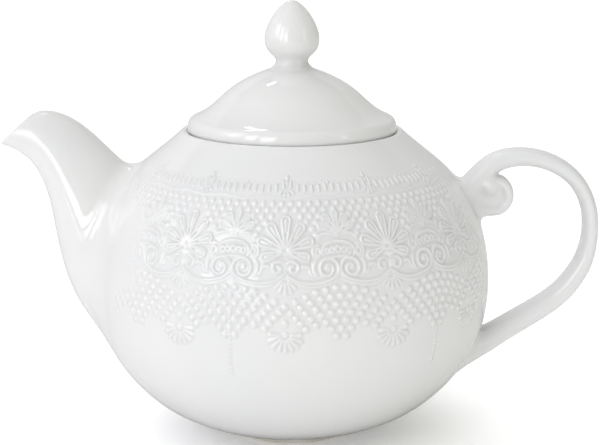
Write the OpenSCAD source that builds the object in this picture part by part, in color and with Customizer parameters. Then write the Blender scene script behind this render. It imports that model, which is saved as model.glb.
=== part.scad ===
// Glazed porcelain teapot: a round pot with a swan-neck spout, a looped strap
// handle that ends in a scroll, and a lift-off domed lid with an acorn knob.
// Millimetres. +Z is up, the spout points to -X and the handle to +X.
// The origin is the centre of the foot ring's resting face.

/* [Body] */
// Largest radius of the pot, at its equator
body_r = 78.5; // [76:0.5:81]
// Wall thickness of the pot
wall = 3.8; // [3.2:0.1:4.5]
// Height of the mouth's rounded crest, which surrounds the lid
mouth_z = 122; // [121.8:0.1:122.4]
// Radius of that crest
crest_r = 43.1; // [42.8:0.1:43.4]
// Height of the flat that the lid rests on, inside the crest
seat_z = 121; // [120.6:0.1:121.2]
// Radius of the mouth's throat, which the lid's collar drops into
throat_r = 37.2; // [36.8:0.1:38]
// Height of the inside floor
floor_z = 7; // [6:0.5:8]

/* [Foot] */
// Height of the foot ring that shows below the pot
foot_h = 2.6; // [2.2:0.1:3]
// Outer radius of the resting face
foot_r = 24.2; // [23.5:0.1:25]
// Width of the resting face
foot_w = 2.2; // [1.6:0.1:2.6]

/* [Strainer] */
// Diameter of each hole in the wall behind the spout
strain_d = 4.2; // [3:0.2:5]
// Spacing of the holes across the wall
strain_pitch = 7.4; // [6.4:0.2:7.6]

/* [Spout] */
// Wall thickness of the spout
spout_wall = 2.8; // [2.2:0.1:3.2]
// Scale of the spout's width, side to side
spout_width = 1; // [0.9:0.02:1.1]

/* [Handle] */
// Scale of the strap's width, side to side
handle_width = 1; // [0.85:0.05:1.15]
// Outer radius of the scroll
scroll_r = 8.5; // [8:0.1:8.8]

/* [Lid] */
// Radius of the lid's rim
lid_r = 41.2; // [40.6:0.1:41.6]
// Clearance between the lid's rim face and the flat that it rests on
lid_gap = 0.05; // [0.02:0.01:0.1]
// Outer radius of the collar under the lid
collar_r = 35.4; // [34.8:0.1:35.8]
// Depth of the collar below the lid's rim
collar_d = 8.4; // [6:0.2:10]
// Diameter of the steam hole in the lid
vent_d = 3.6; // [3:0.2:5]
// Largest radius of the knob
knob_r = 10.8; // [10:0.1:12]

/* [Hidden] */
$fn = 96;
glaze = [0.94, 0.94, 0.93];
biscuit = [0.90, 0.88, 0.84];

table_body_r = 78.5;     // equator radius that the tables below are drawn for
table_knob_r = 10.8;     // likewise for the knob
body_scale = body_r / table_body_r;
side_shift = body_r - table_body_r;  // added to x in the spout and the handle
smooth = 3;              // curve steps between neighbouring stations
bite = 1.0;              // how far the spout and the strap reach into the wall
lap = 0.35;              // how far the foot ring and the collar reach into what they join
flat_z = 2.6;            // underside of the pot, inside the foot ring
rest_z = seat_z + lid_gap;  // the lid's rim face

// ---- Catmull-Rom curves through hand-set stations ----
function blend(a, b, c, d, t) =
    0.5 * ((2 * b) + (c - a) * t + (2 * a - 5 * b + 4 * c - d) * t * t
        + (3 * b - a - 3 * c + d) * t * t * t);
// a station by index, extended in a straight line past either end
function station(list, i) =
    let (last = len(list) - 1)
    i < 0 ? 2 * list[0] - list[1] : i > last ? 2 * list[last] - list[last - 1] : list[i];
// the curve at u, where whole numbers are stations
function curve_at(list, u) =
    let (i = min(floor(u), len(list) - 2))
    blend(station(list, i - 1), station(list, i), station(list, i + 1), station(list, i + 2), u - i);
function curve(list) =
    [for (i = [0 : (len(list) - 1) * smooth]) curve_at(list, i / smooth)];
function unit(v) = v / norm(v);
function reversed(list) = [for (i = [len(list) - 1 : -1 : 0]) list[i]];

// ---- skins of polyhedra, from rings that each have `count` points ----
// triangles between two rings, given the index of each ring's first point
function strip(first, second, count, flip) =
    [for (j = [0 : count - 1])
        let (next = (j + 1) % count,
             a = first + j, b = first + next, c = second + j, d = second + next)
        each (flip ? [[a, c, b], [b, c, d]] : [[a, b, c], [b, d, c]])];
// a tube of consecutive rings, `spans` strips long
function tube(spans, count, start, flip) =
    [for (i = [0 : spans - 1])
        each strip(start + i * count, start + (i + 1) * count, count, flip)];

// ---- pot ----
// outside profile from the underside to below the crest: [radius, height]
pot_stations = [
    [27.8, flat_z], [38.6, 6.0], [51.3, 12.0], [61.3, 20.0], [69.6, 30.0], [75.6, 42.0],
    [78.1, 54.0], [78.5, 64.0], [77.6, 74.0], [75.6, 83.0], [72.6, 90.5], [69.3, 97.0],
    [65.4, 102.4], [60.4, 107.8], [55.4, 111.9], [50.2, 116.1], [46.4, 119.3]
];
// only the belly grows with body_r, the base and the shoulder stay
function in_belly(q) = q[0] > 55 && q[1] < 110;
skin = curve([for (q = pot_stations) [in_belly(q) ? q[0] * body_scale : q[0], q[1]]]);
outer = concat(skin, [
    [crest_r + 1.55, mouth_z - 1.1], [crest_r + 0.95, mouth_z - 0.48],
    [crest_r + 0.45, mouth_z - 0.12], [crest_r, mouth_z]
]);
radius_by_height = [for (q = outer) [q[1], q[0]]];
function pot_radius(z) = lookup(z, radius_by_height);

// the inside follows the outside at one wall's distance
function inward(list, i) =
    let (before = list[max(i - 1, 0)],
         after = list[min(i + 1, len(list) - 1)],
         along = unit(after - before))
    [list[i][0] - wall * along[1], list[i][1] + wall * along[0]];
lining = [
    for (i = [0 : len(skin) - 1])
        let (q = inward(skin, i))
        if (q[1] > floor_z + 2.4 && q[1] < seat_z - 6.4) q
];
// crest, seat and throat, from the top of the crest inward and down
mouth = [
    [crest_r - 0.6, mouth_z - 0.12], [crest_r - 1.3, mouth_z - 0.42],
    [crest_r - 2.1, seat_z + 0.12], [crest_r - 2.9, seat_z],
    [throat_r + 0.5, seat_z], [throat_r, seat_z - 0.5],
    [throat_r, seat_z - 4.2], [throat_r + 0.9, seat_z - 5.4]
];
lining_foot_r = lining[0][0];
inside_floor = [
    [lining_foot_r - 4.2, floor_z + 1.0], [lining_foot_r - 9.5, floor_z + 0.2],
    [lining_foot_r - 14, floor_z], [0, floor_z]
];

// the strainer holes fill an ellipse on the -X wall
strain_z = 70;
strain_half_y = 13.6;
strain_half_z = 17;
strain_row_pitch = strain_pitch * 0.9;
module strainer_holes() {
    for (row = [-2 : 2], i = [-1.5 : 1 : 1.5]) {
        stagger = abs(row) % 2 == 1 ? 0.5 : 0;
        y = (i + stagger) * strain_pitch;
        rise = row * strain_row_pitch;
        if (pow(y / strain_half_y, 2) + pow(rise / strain_half_z, 2) < 1)
            translate([-90, y, strain_z + rise])
                rotate([0, 90, 0])
                    cylinder(d = strain_d, h = 40, $fn = 32);
    }
}

module pot_body() {
    color(glaze)
    difference() {
        rotate_extrude()
            polygon(concat([[0, flat_z]], outer, mouth, reversed(lining), inside_floor));
        strainer_holes();
    }
}

// ---- foot ring ----
module foot_ring() {
    top = flat_z + lap;
    flare_r = foot_r + 3.3;
    inner_r = foot_r - foot_w;
    color(biscuit)
    rotate_extrude()
        polygon([
            [inner_r, 0], [foot_r, 0], [foot_r + 0.9, 0.25], [foot_r + 2.0, 0.95],
            [foot_r + 2.9, 1.9], [flare_r, foot_h], [flare_r, top],
            [inner_r - 1.2, top], [inner_r - 1.2, 1.1], [inner_r - 0.8, 0.35]
        ]);
}

// ---- spout: three rails from the pot to the tip as [x, z], and a half width ----
rail_top = [
    [-61.9, 104.4], [-66.5, 108.4], [-71.5, 113.2], [-76.2, 117.8], [-80.9, 122.1],
    [-86.3, 126.0], [-92, 128.5], [-96.8, 129.3], [-100.2, 128.9], [-102.2, 127.9]
];
rail_side = [
    [-74.2, 68], [-77.4, 75.4], [-80.8, 83], [-84.2, 91.6], [-87.5, 99.8],
    [-91.1, 107.9], [-95.1, 114.2], [-99.7, 118.8], [-104.3, 121.2], [-108.3, 121.9]
];
rail_low = [
    [-71.8, 33], [-79.0, 43.4], [-86.2, 54.0], [-90.9, 66.4], [-93.6, 78.2],
    [-95.5, 90.0], [-98.2, 100.2], [-102.6, 108.4], [-108.4, 113.3], [-114.4, 115.9]
];
spout_half_w = [19.5, 19.2, 17.6, 15.6, 13.8, 12.3, 11.1, 10.1, 9.3, 8.7];
spout_last = len(spout_half_w) - 1;
spout_spans = 36;        // spans along the spout
spout_count = 40;        // points round each ring

// an egg-shaped ring, narrower above its sides than below, drawn in by `inset`
function spout_ring(u, inset) =
    let (rail_t = curve_at(rail_top, u),
         rail_b = curve_at(rail_low, u),
         side = curve_at(rail_side, u),
         across = unit(rail_t - rail_b),
         top = rail_t - inset * across,
         low = rail_b + inset * across,
         half = curve_at(spout_half_w, u) * spout_width - inset,
         egg = 0.24 * (1 - u / spout_last) + 0.02)
    [for (i = [0 : spout_count - 1])
        let (angle = 360 * i / spout_count,
             c = cos(angle),
             p = side + c * (top - low) / 2 + c * c * (top + low - 2 * side) / 2)
        [p[0] + side_shift, half * sin(angle) * (1 - egg * c), p[1]]];
// moves a ring along X to one bite inside the pot's -X surface
function seated(ring) =
    [for (p = ring) [-sqrt(pow(pot_radius(p[2]) - bite, 2) - p[1] * p[1]), p[1], p[2]]];
function spout_rings(inset) =
    concat([seated(spout_ring(0, inset))],
           [for (i = [1 : spout_spans]) spout_ring(spout_last * i / spout_spans, inset)]);

module spout() {
    rings = concat(spout_rings(0), spout_rings(spout_wall));
    tip = spout_spans * spout_count;             // first point of the outside's last ring
    inside = (spout_spans + 1) * spout_count;    // first point of the inside
    color(glaze)
    polyhedron(points = [for (ring = rings) each ring], faces = concat(
        tube(spout_spans, spout_count, 0, true),
        tube(spout_spans, spout_count, inside, false),
        strip(0, inside, spout_count, false),
        strip(tip, inside + tip, spout_count, true)
    ), convexity = 6);
}

// ---- solid sweeps in the XZ plane; stations are [x, z, half thickness, half width] ----
function heading(path, u) =
    let (last = len(path) - 1,
         a = curve_at(path, max(u - 0.02, 0)),
         b = curve_at(path, min(u + 0.02, last)))
    unit([b[0] - a[0], b[1] - a[1]]);
function signed_pow(value, power) = sign(value) * pow(abs(value), power);
// a superellipse square to the path
function section(path, u, count, power) =
    let (q = curve_at(path, u), along = heading(path, u))
    [for (j = [0 : count - 1])
        let (angle = 360 * j / count,
             c = signed_pow(cos(angle), power),
             s = signed_pow(sin(angle), power))
        [q[0] + side_shift - along[1] * q[2] * c, q[3] * s, q[1] + along[0] * q[2] * c]];

// positive until a point is one bite inside the pot's surface
function short_of_bite(p) = norm([p[0], p[1]]) - pot_radius(p[2]) + bite;
// slides a point along a direction to that depth, by halving the range low to high
function slide(p, dir, low, high, steps) =
    let (mid = (low + high) / 2)
    steps == 0 ? p + low * dir :
    short_of_bite(p + mid * dir) > 0 ? slide(p, dir, mid, high, steps - 1) :
    slide(p, dir, low, mid, steps - 1);
function into_wall(ring, dir) = [for (p = ring) slide(p, [dir[0], 0, dir[1]], 0, 22, 24)];

// the first end always runs into the pot's wall, the last end only if end_in_wall
module sweep(path, count, power, end_in_wall) {
    last = len(path) - 1;
    rings = concat(
        [into_wall(section(path, 0, count, power), -heading(path, 0))],
        [for (i = [0 : last * smooth]) section(path, i / smooth, count, power)],
        end_in_wall ? [into_wall(section(path, last, count, power), heading(path, last))] : []
    );
    spans = len(rings) - 1;
    polyhedron(points = [for (ring = rings) each ring], faces = concat(
        tube(spans, count, 0, false),
        [[for (j = [count - 1 : -1 : 0]) j]],
        [[for (j = [0 : count - 1]) spans * count + j]]
    ), convexity = 8);
}

// ---- handle strap, from its upper root round to its lower root ----
strap_path = [
    [72.3, 101.8, 5.0, 6.9], [75.1, 105.0, 4.4, 6.5], [79.7, 108.6, 3.95, 6.3],
    [85.6, 110.9, 3.8, 6.2], [92.0, 111.45, 3.6, 6.2], [98.6, 110.35, 3.5, 6.2],
    [105.0, 107.6, 3.45, 6.2], [110.6, 103.6, 3.45, 6.2], [115.0, 98.3, 3.45, 6.2],
    [118.0, 91.4, 3.45, 6.3], [119.1, 83.8, 3.45, 6.3], [118.6, 76.0, 3.55, 6.4],
    [116.1, 67.2, 3.9, 6.5], [110.0, 57.9, 4.15, 6.7], [103.0, 51.6, 4.3, 6.9],
    [96.2, 47.1, 4.45, 7.0], [88.2, 42.2, 4.55, 7.1], [81.4, 38.0, 4.75, 7.3],
    [78.4, 36.1, 4.95, 7.5]
];
module handle_strap() {
    path = [for (q = strap_path) [q[0], q[1], q[2], q[3] * handle_width]];
    color(glaze) sweep(path, count = 28, power = 0.86, end_in_wall = true);
}

// ---- scroll: a band that leaves the wall, curls under, out, up and back to its eye ----
eye = [79.7, 95.9];      // [x, z]
band = 2.3;              // half thickness of the curled band
coil_r = scroll_r - band;   // centreline radius of the outer half turn
coil_end_r = 2.05;       // centreline radius where the band stops
coil_steps = 12;         // 30 degrees each
function coil_station(i) =
    let (angle = -96 + i * 30,
         f = i / coil_steps,
         r = coil_r - (i < 7 ? 0 : (coil_r - coil_end_r) * pow((i - 6) / 6, 0.8)))
    [eye[0] + r * cos(angle), eye[1] + r * sin(angle), band - 0.55 * f * f, 6.2 - 1.4 * f];
scroll_path = concat(
    [[74.9, 90.3, 2.75, 6.5], [77.0, 89.85, 2.45, 6.35]],
    [for (i = [0 : coil_steps]) coil_station(i)]
);
module handle_scroll() {
    color(glaze) {
        sweep(scroll_path, count = 20, power = 0.9, end_in_wall = false);
        // a disc, narrower than the band, fills the coil
        translate([eye[0] + side_shift, 0, eye[1]])
            rotate([90, 0, 0])
                cylinder(r = coil_r, h = 7, center = true, $fn = 64);
    }
}

// ---- lid, as [radius, height] ----
rim = [
    [32.3, rest_z], [lid_r - 2.4, rest_z], [lid_r - 1.2, rest_z + 0.45],
    [lid_r - 0.35, rest_z + 1.5], [lid_r, rest_z + 2.8], [lid_r, rest_z + 3.8]
];
// outside of the dome, going up
crown = [
    [lid_r - 0.4, rest_z + 5.0], [lid_r - 1.9, rest_z + 6.0], [36.6, 128.3], [33.5, 130.2],
    [30.0, 133.1], [27.3, 135.6], [24.6, 137.9], [21.3, 140.2], [17.8, 142.2], [14.2, 143.9],
    [11.0, 145.1], [8.8, 146.2]
];
// inside of the dome, going up
hollow = [
    [31.9, 122.4], [31.3, 125.6], [28.8, 129.2], [25.2, 132.9], [21.4, 135.9], [17.0, 138.6],
    [12.0, 140.7], [6.0, 142.0]
];
crown_top_z = 146.9;
hollow_top_z = 142.4;
vent_y = 22;
module lid_dome() {
    color(glaze)
    difference() {
        rotate_extrude()
            polygon(concat(
                rim, curve(crown),
                [[7.6, crown_top_z], [0, crown_top_z], [0, hollow_top_z]],
                reversed(curve(hollow))
            ));
        translate([0, vent_y, 120]) cylinder(d = vent_d, h = 30, $fn = 32);
    }
}

module lid_collar() {
    top = rest_z + lap;
    low = rest_z - collar_d;
    inner_r = collar_r - 2.9;
    color(glaze)
    rotate_extrude()
        polygon([
            [inner_r, top], [collar_r, top], [collar_r, low + 1.2], [collar_r - 0.4, low + 0.3],
            [collar_r - 1.2, low], [collar_r - 2.0, low], [collar_r - 2.7, low + 0.5],
            [inner_r, low + 1.4]
        ]);
}

// ---- knob: [radius, height], with a neck below neck_z that keeps its size ----
acorn = [
    [7.3, 146.6], [6.6, 147.5], [6.3, 148.8], [6.75, 150.2], [8.3, 151.6], [9.8, 153.4],
    [10.65, 155.6], [10.8, 157.9], [10.4, 160.3], [9.6, 162.7], [8.45, 165.1], [7.0, 167.5],
    [5.2, 169.7], [3.0, 171.7], [1.1, 172.65]
];
neck_z = 151;
module knob() {
    nut_scale = knob_r / table_knob_r;
    side = [for (q = curve(acorn)) [q[0] * (q[1] > neck_z ? nut_scale : 1), q[1]]];
    color(glaze)
    rotate_extrude()
        polygon(concat([[0, 146.5]], side, [[0, 172.8]]));
}

pot_body();
foot_ring();
spout();
handle_strap();
handle_scroll();
lid_dome();
lid_collar();
knob();
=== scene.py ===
"""Glazed porcelain teapot with a cast lace relief, a scrolled handle and an acorn-knobbed lid.

The pot stands on z = 0 round the Z axis, spout towards -X, handle towards +X, front towards -Y.
Lengths of the pieces are millimetres; new_object() turns them into metres. The stage, the lights,
the camera and the shader distances are in metres.
"""
import math
from itertools import combinations
import bpy
import numpy as np
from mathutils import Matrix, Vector
from mathutils.geometry import delaunay_2d_cdt


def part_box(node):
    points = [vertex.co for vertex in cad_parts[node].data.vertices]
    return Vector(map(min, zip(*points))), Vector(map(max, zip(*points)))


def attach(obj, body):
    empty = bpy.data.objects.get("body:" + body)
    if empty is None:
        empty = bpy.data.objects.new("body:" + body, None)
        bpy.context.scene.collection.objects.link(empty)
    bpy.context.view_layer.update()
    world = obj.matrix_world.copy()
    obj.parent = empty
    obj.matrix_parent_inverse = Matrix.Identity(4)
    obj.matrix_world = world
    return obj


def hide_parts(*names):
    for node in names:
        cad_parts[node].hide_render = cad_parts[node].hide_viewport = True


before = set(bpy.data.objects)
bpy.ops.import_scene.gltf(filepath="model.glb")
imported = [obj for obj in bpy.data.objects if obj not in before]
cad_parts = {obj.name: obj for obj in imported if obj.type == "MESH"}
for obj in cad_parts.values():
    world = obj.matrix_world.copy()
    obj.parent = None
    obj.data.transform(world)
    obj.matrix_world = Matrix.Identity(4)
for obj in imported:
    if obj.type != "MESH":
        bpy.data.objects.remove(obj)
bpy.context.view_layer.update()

MM = 1000.0  # millimetres in a metre


def box_mm(name):
    """Low and high corner of a CAD node's box."""
    return [np.array(corner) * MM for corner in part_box(name)]


(_, _, POT_BOTTOM), (POT_RADIUS, _, POT_TOP) = box_mm("pot_body")
SPOUT_TIP_X = box_mm("spout")[0][0]
HANDLE_END_X = box_mm("handle_strap")[1][0]
(_, _, LID_REST), (LID_RADIUS, _, _) = box_mm("lid_dome")
(_, _, COLLAR_BOTTOM), (COLLAR_RADIUS, _, COLLAR_TOP) = box_mm("lid_collar")
(_, _, KNOB_BOTTOM), (_, _, KNOB_TOP) = box_mm("knob")


# ------------------------------------------------------------------ curves and vectors
def smooth_step(x):
    x = np.clip(x, 0.0, 1.0)
    return x * x * (3 - 2 * x)


def unit(vectors):
    return vectors / np.maximum(np.linalg.norm(vectors, axis=-1, keepdims=True), 1e-12)


def catmull(points, samples):
    """Catmull-Rom curve through rows of numbers, with so many samples to each span."""
    rows = np.asarray(points, float)
    rows = np.vstack([2 * rows[0] - rows[1], rows, 2 * rows[-1] - rows[-2]])
    curve = []
    for before, start, end, after in zip(rows, rows[1:], rows[2:], rows[3:]):
        linear = end - before
        square = 2 * before - 5 * start + 4 * end - after
        cubic = 3 * start - before - 3 * end + after
        for k in range(samples):
            t = k / samples
            curve.append(0.5 * (2 * start + linear * t + square * t * t + cubic * t**3))
    curve.append(rows[-2])
    return np.array(curve)


def gauss_kernel(sigma):
    reach = max(1, int(3 * sigma))
    kernel = np.exp(-0.5 * (np.arange(-reach, reach + 1) / sigma) ** 2)
    return reach, kernel / kernel.sum()


def gauss_line(values, sigma):
    """Blur down the rows, ends carried straight on, with the shrinking put back once."""
    values = np.asarray(values, float)
    reach, kernel = gauss_kernel(sigma)

    def blur(rows):
        steps = np.arange(reach, 0, -1)[:, None]
        head = rows[:1] - (rows[1:2] - rows[:1]) * steps
        tail = rows[-1:] + (rows[-1:] - rows[-2:-1]) * steps[::-1]
        padded = np.vstack([head, rows, tail])
        return np.stack([np.convolve(column, kernel, "valid") for column in padded.T], 1)

    once = blur(values)
    return once + blur(values - once)


def resample(points, spacing):
    """Evenly spaced rows along the first two columns, and their arc lengths."""
    points = np.asarray(points, float)
    steps = np.linalg.norm(np.diff(points[:, :2], axis=0), axis=1)
    arc = np.concatenate([[0], np.cumsum(steps)])
    even = np.linspace(0, arc[-1], max(2, int(round(arc[-1] / spacing)) + 1))
    return np.stack([np.interp(even, arc, column) for column in points.T], 1), even


def chaikin(points, rounds):
    """Corner cutting that keeps both ends."""
    points = np.asarray(points, float)
    for _ in range(rounds):
        cut = [points[0]]
        for start, end in zip(points[:-1], points[1:]):
            cut += [0.75 * start + 0.25 * end, 0.25 * start + 0.75 * end]
        cut.append(points[-1])
        points = np.array(cut)
    return points


def blur_ring(values, sigma):
    """Blur round a closed ring."""
    values = np.asarray(values, float)
    count = len(values)
    wave = np.fft.fftfreq(count) * count
    weight = np.exp(-0.5 * (wave * 2 * math.pi / count * sigma) ** 2)
    spectrum = np.fft.fft(values.reshape(count, -1), axis=0) * weight[:, None]
    return np.real(np.fft.ifft(spectrum, axis=0)).reshape(values.shape)


# ------------------------------------------------------------------ meshes
def new_object(name, co, faces, normals=None, hollow=None):
    """A smooth object. faces: arrays of one face to a row, each with its own corner count."""
    mesh = bpy.data.meshes.new(name)
    co = np.asarray(co, float)
    mesh.vertices.add(len(co))
    mesh.vertices.foreach_set("co", (co / MM).astype(np.float32).ravel())
    totals = np.concatenate([np.full(len(block), block.shape[1]) for block in faces])
    loops = np.concatenate([block.ravel() for block in faces])
    mesh.loops.add(len(loops))
    mesh.loops.foreach_set("vertex_index", loops.astype(np.int32))
    mesh.polygons.add(len(totals))
    starts = np.concatenate([[0], np.cumsum(totals)[:-1]]).astype(np.int32)
    mesh.polygons.foreach_set("loop_start", starts)
    mesh.polygons.foreach_set("use_smooth", np.full(len(totals), True))
    if hollow is not None:
        attribute = mesh.attributes.new("hollow", "FLOAT", "POINT")
        attribute.data.foreach_set("value", np.asarray(hollow, np.float32))
    mesh.update(calc_edges=True)
    mesh.validate(verbose=False)
    if normals is not None:
        mesh.normals_split_custom_set_from_vertices(normals.astype(np.float32))
    ob = bpy.data.objects.new(name, mesh)
    bpy.context.scene.collection.objects.link(ob)
    return ob


def ring_angles(count):
    return np.arange(count) * 2 * math.pi / count


def spin(radius, height, angle):
    """Points round Z; angle 0 is -Y and grows towards +X."""
    return np.stack([radius * np.sin(angle), -radius * np.cos(angle), height + 0 * angle], -1)


def lathe(profile, cols):
    """Points of a turned (radius, height) profile, ring after ring."""
    return spin(profile[:, 0][:, None], profile[:, 1][:, None], ring_angles(cols)).reshape(-1, 3)


def grid_quads(rows, cols, base=0, flip=False):
    """Quads between rings of vertices; the first corner of each is its row and column."""
    row = np.arange(rows - 1)[:, None]
    col = np.arange(cols)[None, :]
    here = base + row * cols + col
    beside = base + row * cols + (col + 1) % cols
    quads = np.stack([here, beside, beside + cols, here + cols], -1).reshape(-1, 4)
    return quads[:, ::-1] if flip else quads


def fan(first, count, centre, flip=False):
    """Triangles from a ring of vertices to a centre."""
    here = first + np.arange(count)
    beside = first + (np.arange(count) + 1) % count
    pair = [beside, here] if flip else [here, beside]
    return np.stack([*pair, np.full(count, centre)], 1)


def used_only(co, faces, *extra):
    """Drops vertices that no face uses."""
    keep = np.zeros(len(co), bool)
    for block in faces:
        keep[block.ravel()] = True
    renumbered = np.cumsum(keep) - 1
    return [co[keep], [renumbered[block] for block in faces]] + [e[keep] for e in extra]


def face_normals(co, faces):
    start = co[faces[:, 0]]
    return np.cross(co[faces[:, 1]] - start, co[faces[:, 2]] - start)


def facing(co, faces, axis, sign):
    """Turns the faces so that their normals point to one side along an axis."""
    wrong = face_normals(co, faces)[:, axis] * sign < 0
    faces[wrong] = faces[wrong][:, ::-1]
    return faces


# ------------------------------------------------------------------ round holes in lathe grids
def in_loop(points, loop):
    """Even-odd test in the plane."""
    inside = np.zeros(len(points), bool)
    for start, end in zip(loop, np.roll(loop, -1, 0)):
        spans = (start[1] > points[:, 1]) != (end[1] > points[:, 1])
        share = (points[:, 1] - start[1]) / (end[1] - start[1] + 1e-12)
        inside ^= spans & (points[:, 0] < start[0] + share * (end[0] - start[0]))
    return inside


def circle(centre, radius, sides):
    turns = [2 * math.pi * k / sides for k in range(sides)]
    return [(centre[0] + radius * math.cos(a), centre[1] + radius * math.sin(a)) for a in turns]


def block_border(first, cols, block):
    """Vertices round a block (first row, last row, first column, last column) of a grid."""
    row_a, row_b, col_a, col_b = block
    places = [(row_a, col) for col in range(col_a, col_b + 1)]
    places += [(row, col_b) for row in range(row_a + 1, row_b + 1)]
    places += [(row_b, col) for col in range(col_b - 1, col_a - 1, -1)]
    places += [(row, col_a) for row in range(row_b - 1, row_a, -1)]
    return [first + row * cols + col for row, col in places]


def outside_block(quads, first, cols, block):
    row, col = np.divmod(quads[:, 0] - first, cols)
    row_a, row_b, col_a, col_b = block
    return quads[~((row >= row_a) & (row < row_b) & (col >= col_a) & (col < col_b))]


def perforated(points, border_count, ring_start, centres, radius, sides, epsilon):
    """Triangles that fill a border and leave holes. The border's points come first; the holes'
    rings lie one after another from ring_start."""
    loops = [(0, border_count)]
    loops += [(ring_start + sides * k, sides) for k in range(len(centres))]
    edges = [(at + k, at + (k + 1) % count) for at, count in loops for k in range(count)]
    result = delaunay_2d_cdt([Vector(p) for p in points.tolist()], edges, [], 0, epsilon)
    source = [origin[0] if origin else -1 for origin in result[3]]
    triangles = np.array([source[v] for face in result[2] for v in face]).reshape(-1, 3)
    triangles = triangles[(triangles >= 0).all(1)]
    middle = points[triangles].mean(1)
    keep = in_loop(middle, points[:border_count])
    clear = radius * math.cos(math.pi / sides) - 1000 * epsilon
    for centre in centres:
        keep &= np.hypot(*(middle - centre).T) > clear
    return triangles[keep]


# ------------------------------------------------------------------ the pot's profile
DRAWN_RADIUS, DRAWN_BOTTOM, DRAWN_HEIGHT = 78.5, 2.6, 119.4  # what the tables were drawn to
EQUATOR_Z = 64.0
WALL_THICKNESS = 3.8

# radius, height of the outside, from the foot to the mouth
SHELL = np.array([
    [27.8, 2.6], [38.6, 6.0], [51.3, 12.0], [61.3, 20.0], [69.6, 30.0], [75.6, 42.0],
    [78.1, 54.0], [78.5, 64.0], [77.6, 74.0], [75.6, 83.0], [72.6, 90.5], [69.3, 97.0],
    [65.4, 102.4], [60.4, 107.8], [55.4, 111.9], [50.2, 116.1], [46.4, 119.3],
])


def fit_height(z):
    """A drawn height carried over to the pot's box."""
    return POT_BOTTOM + (z - DRAWN_BOTTOM) * (POT_TOP - POT_BOTTOM) / DRAWN_HEIGHT


SHELL = np.stack([SHELL[:, 0] * (POT_RADIUS / DRAWN_RADIUS), fit_height(SHELL[:, 1])], 1)
WALL, _ = resample(catmull(SHELL, 24), 0.5)
WALL, WALL_ARC = resample(gauss_line(WALL, 9.0), 0.25)
WALL_UP = WALL_ARC - np.interp(EQUATOR_Z, WALL[:, 1], WALL_ARC)  # arc length above the equator
TANGENT = unit(np.gradient(WALL, axis=0))
WALL_NORMAL = np.stack([TANGENT[:, 1], -TANGENT[:, 0]], 1)


def radius_at(z):
    return np.interp(z, WALL[:, 1], WALL[:, 0])


def normal_at(z):
    """Radial and upright part of the wall's normal at a height."""
    return [np.interp(z, WALL[:, 1], column) for column in WALL_NORMAL.T]


def body_normal(p):
    radial, upright = normal_at(p[..., 2])
    r = np.maximum(np.hypot(p[..., 0], p[..., 1]), 1e-9)
    return unit(np.stack([radial * p[..., 0] / r, radial * p[..., 1] / r, upright], -1))


def body_distance(p):
    """Signed distance to the pot's outside, near it."""
    r = np.hypot(p[..., 0], p[..., 1])
    z = p[..., 2]
    gap = (r - radius_at(z)) * normal_at(z)[0]
    for _ in range(2):  # closes in on the nearest point of the curve
        near_z = z - gap * normal_at(z)[1]
        radial, upright = normal_at(near_z)
        gap = (r - radius_at(near_z)) * radial + (z - near_z) * upright
    return gap


def on_body(p):
    """p moved on to the pot's outside along its normal."""
    for _ in range(4):
        p = p - body_distance(p)[..., None] * body_normal(p)
    return p


# ------------------------------------------------------------------ spout: rails and rings
LAST_STATION = 9
SPOUT_WALL = 2.8
LIP_WALL = 2.3
RAIL_SAMPLES = 40
SPOUT_COLS = 120
SPOUT_ANGLES = ring_angles(SPOUT_COLS)  # 0 is the spout's top

# one row to a station from root to lip: x, z of the top; x, z of the middle; x, z of the
# underside; half width
SPOUT_STATIONS = [
    [-61.9, 104.4, -74.2, 68.0, -71.8, 33.0, 19.5],
    [-66.5, 108.4, -77.4, 75.4, -79.0, 43.4, 19.2],
    [-71.5, 113.2, -80.8, 83.0, -86.2, 54.0, 17.6],
    [-76.2, 117.8, -84.2, 91.6, -90.9, 66.4, 15.6],
    [-80.9, 122.1, -87.5, 99.8, -93.6, 78.2, 13.8],
    [-86.3, 126.0, -91.1, 107.9, -95.5, 90.0, 12.3],
    [-92.0, 128.5, -95.1, 114.2, -98.2, 100.2, 11.1],
    [-96.8, 129.3, -99.7, 118.8, -102.6, 108.4, 10.1],
    [-100.2, 128.9, -104.3, 121.2, -108.4, 113.3, 9.3],
    [-102.2, 127.9, -108.3, 121.9, -114.4, 115.9, 8.7],
]


def spout_rails():
    """The stations as smooth rails, led one station back into the pot and fitted to the box."""
    rails = catmull(SPOUT_STATIONS, RAIL_SAMPLES)
    back = np.arange(RAIL_SAMPLES, 0, -1)[:, None]
    rails = np.vstack([rails[:1] - (rails[1:2] - rails[:1]) * back, rails])
    rails = gauss_line(rails, 22.0)
    station = np.linspace(-1, LAST_STATION, len(rails))
    share = np.clip((station[:, None] + 1) / (LAST_STATION + 1), 0, 1)
    rails[:, [0, 2, 4]] += (SPOUT_TIP_X - rails[:, 4].min()) * share
    return rails, station


RAILS, RAIL_STATION = spout_rails()


def spout_point(station, angle, inset=0.0):
    """Points of the spout at a station and an angle round it, arrays of one shape."""
    values = [np.interp(station, RAIL_STATION, column) for column in RAILS.T]
    top, middle, low = (np.stack(values[k : k + 2], -1) for k in (0, 2, 4))
    upward = unit(top - low)
    inset = np.asarray(inset, float)
    top, low = top - inset[..., None] * upward, low + inset[..., None] * upward
    half_width = values[6] - inset
    egg = 0.24 * (1 - station / LAST_STATION) + 0.02  # narrower above than below
    cos, sin = np.cos(angle)[..., None], np.sin(angle)
    p = middle + cos * (top - low) / 2 + cos * cos * (top + low - 2 * middle) / 2
    return np.stack([p[..., 0], half_width * sin * (1 - egg * cos[..., 0]), p[..., 1]], -1)


def spout_ring(station, inset=0.0):
    return spout_point(np.full(SPOUT_COLS, float(station)), SPOUT_ANGLES, inset)


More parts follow.
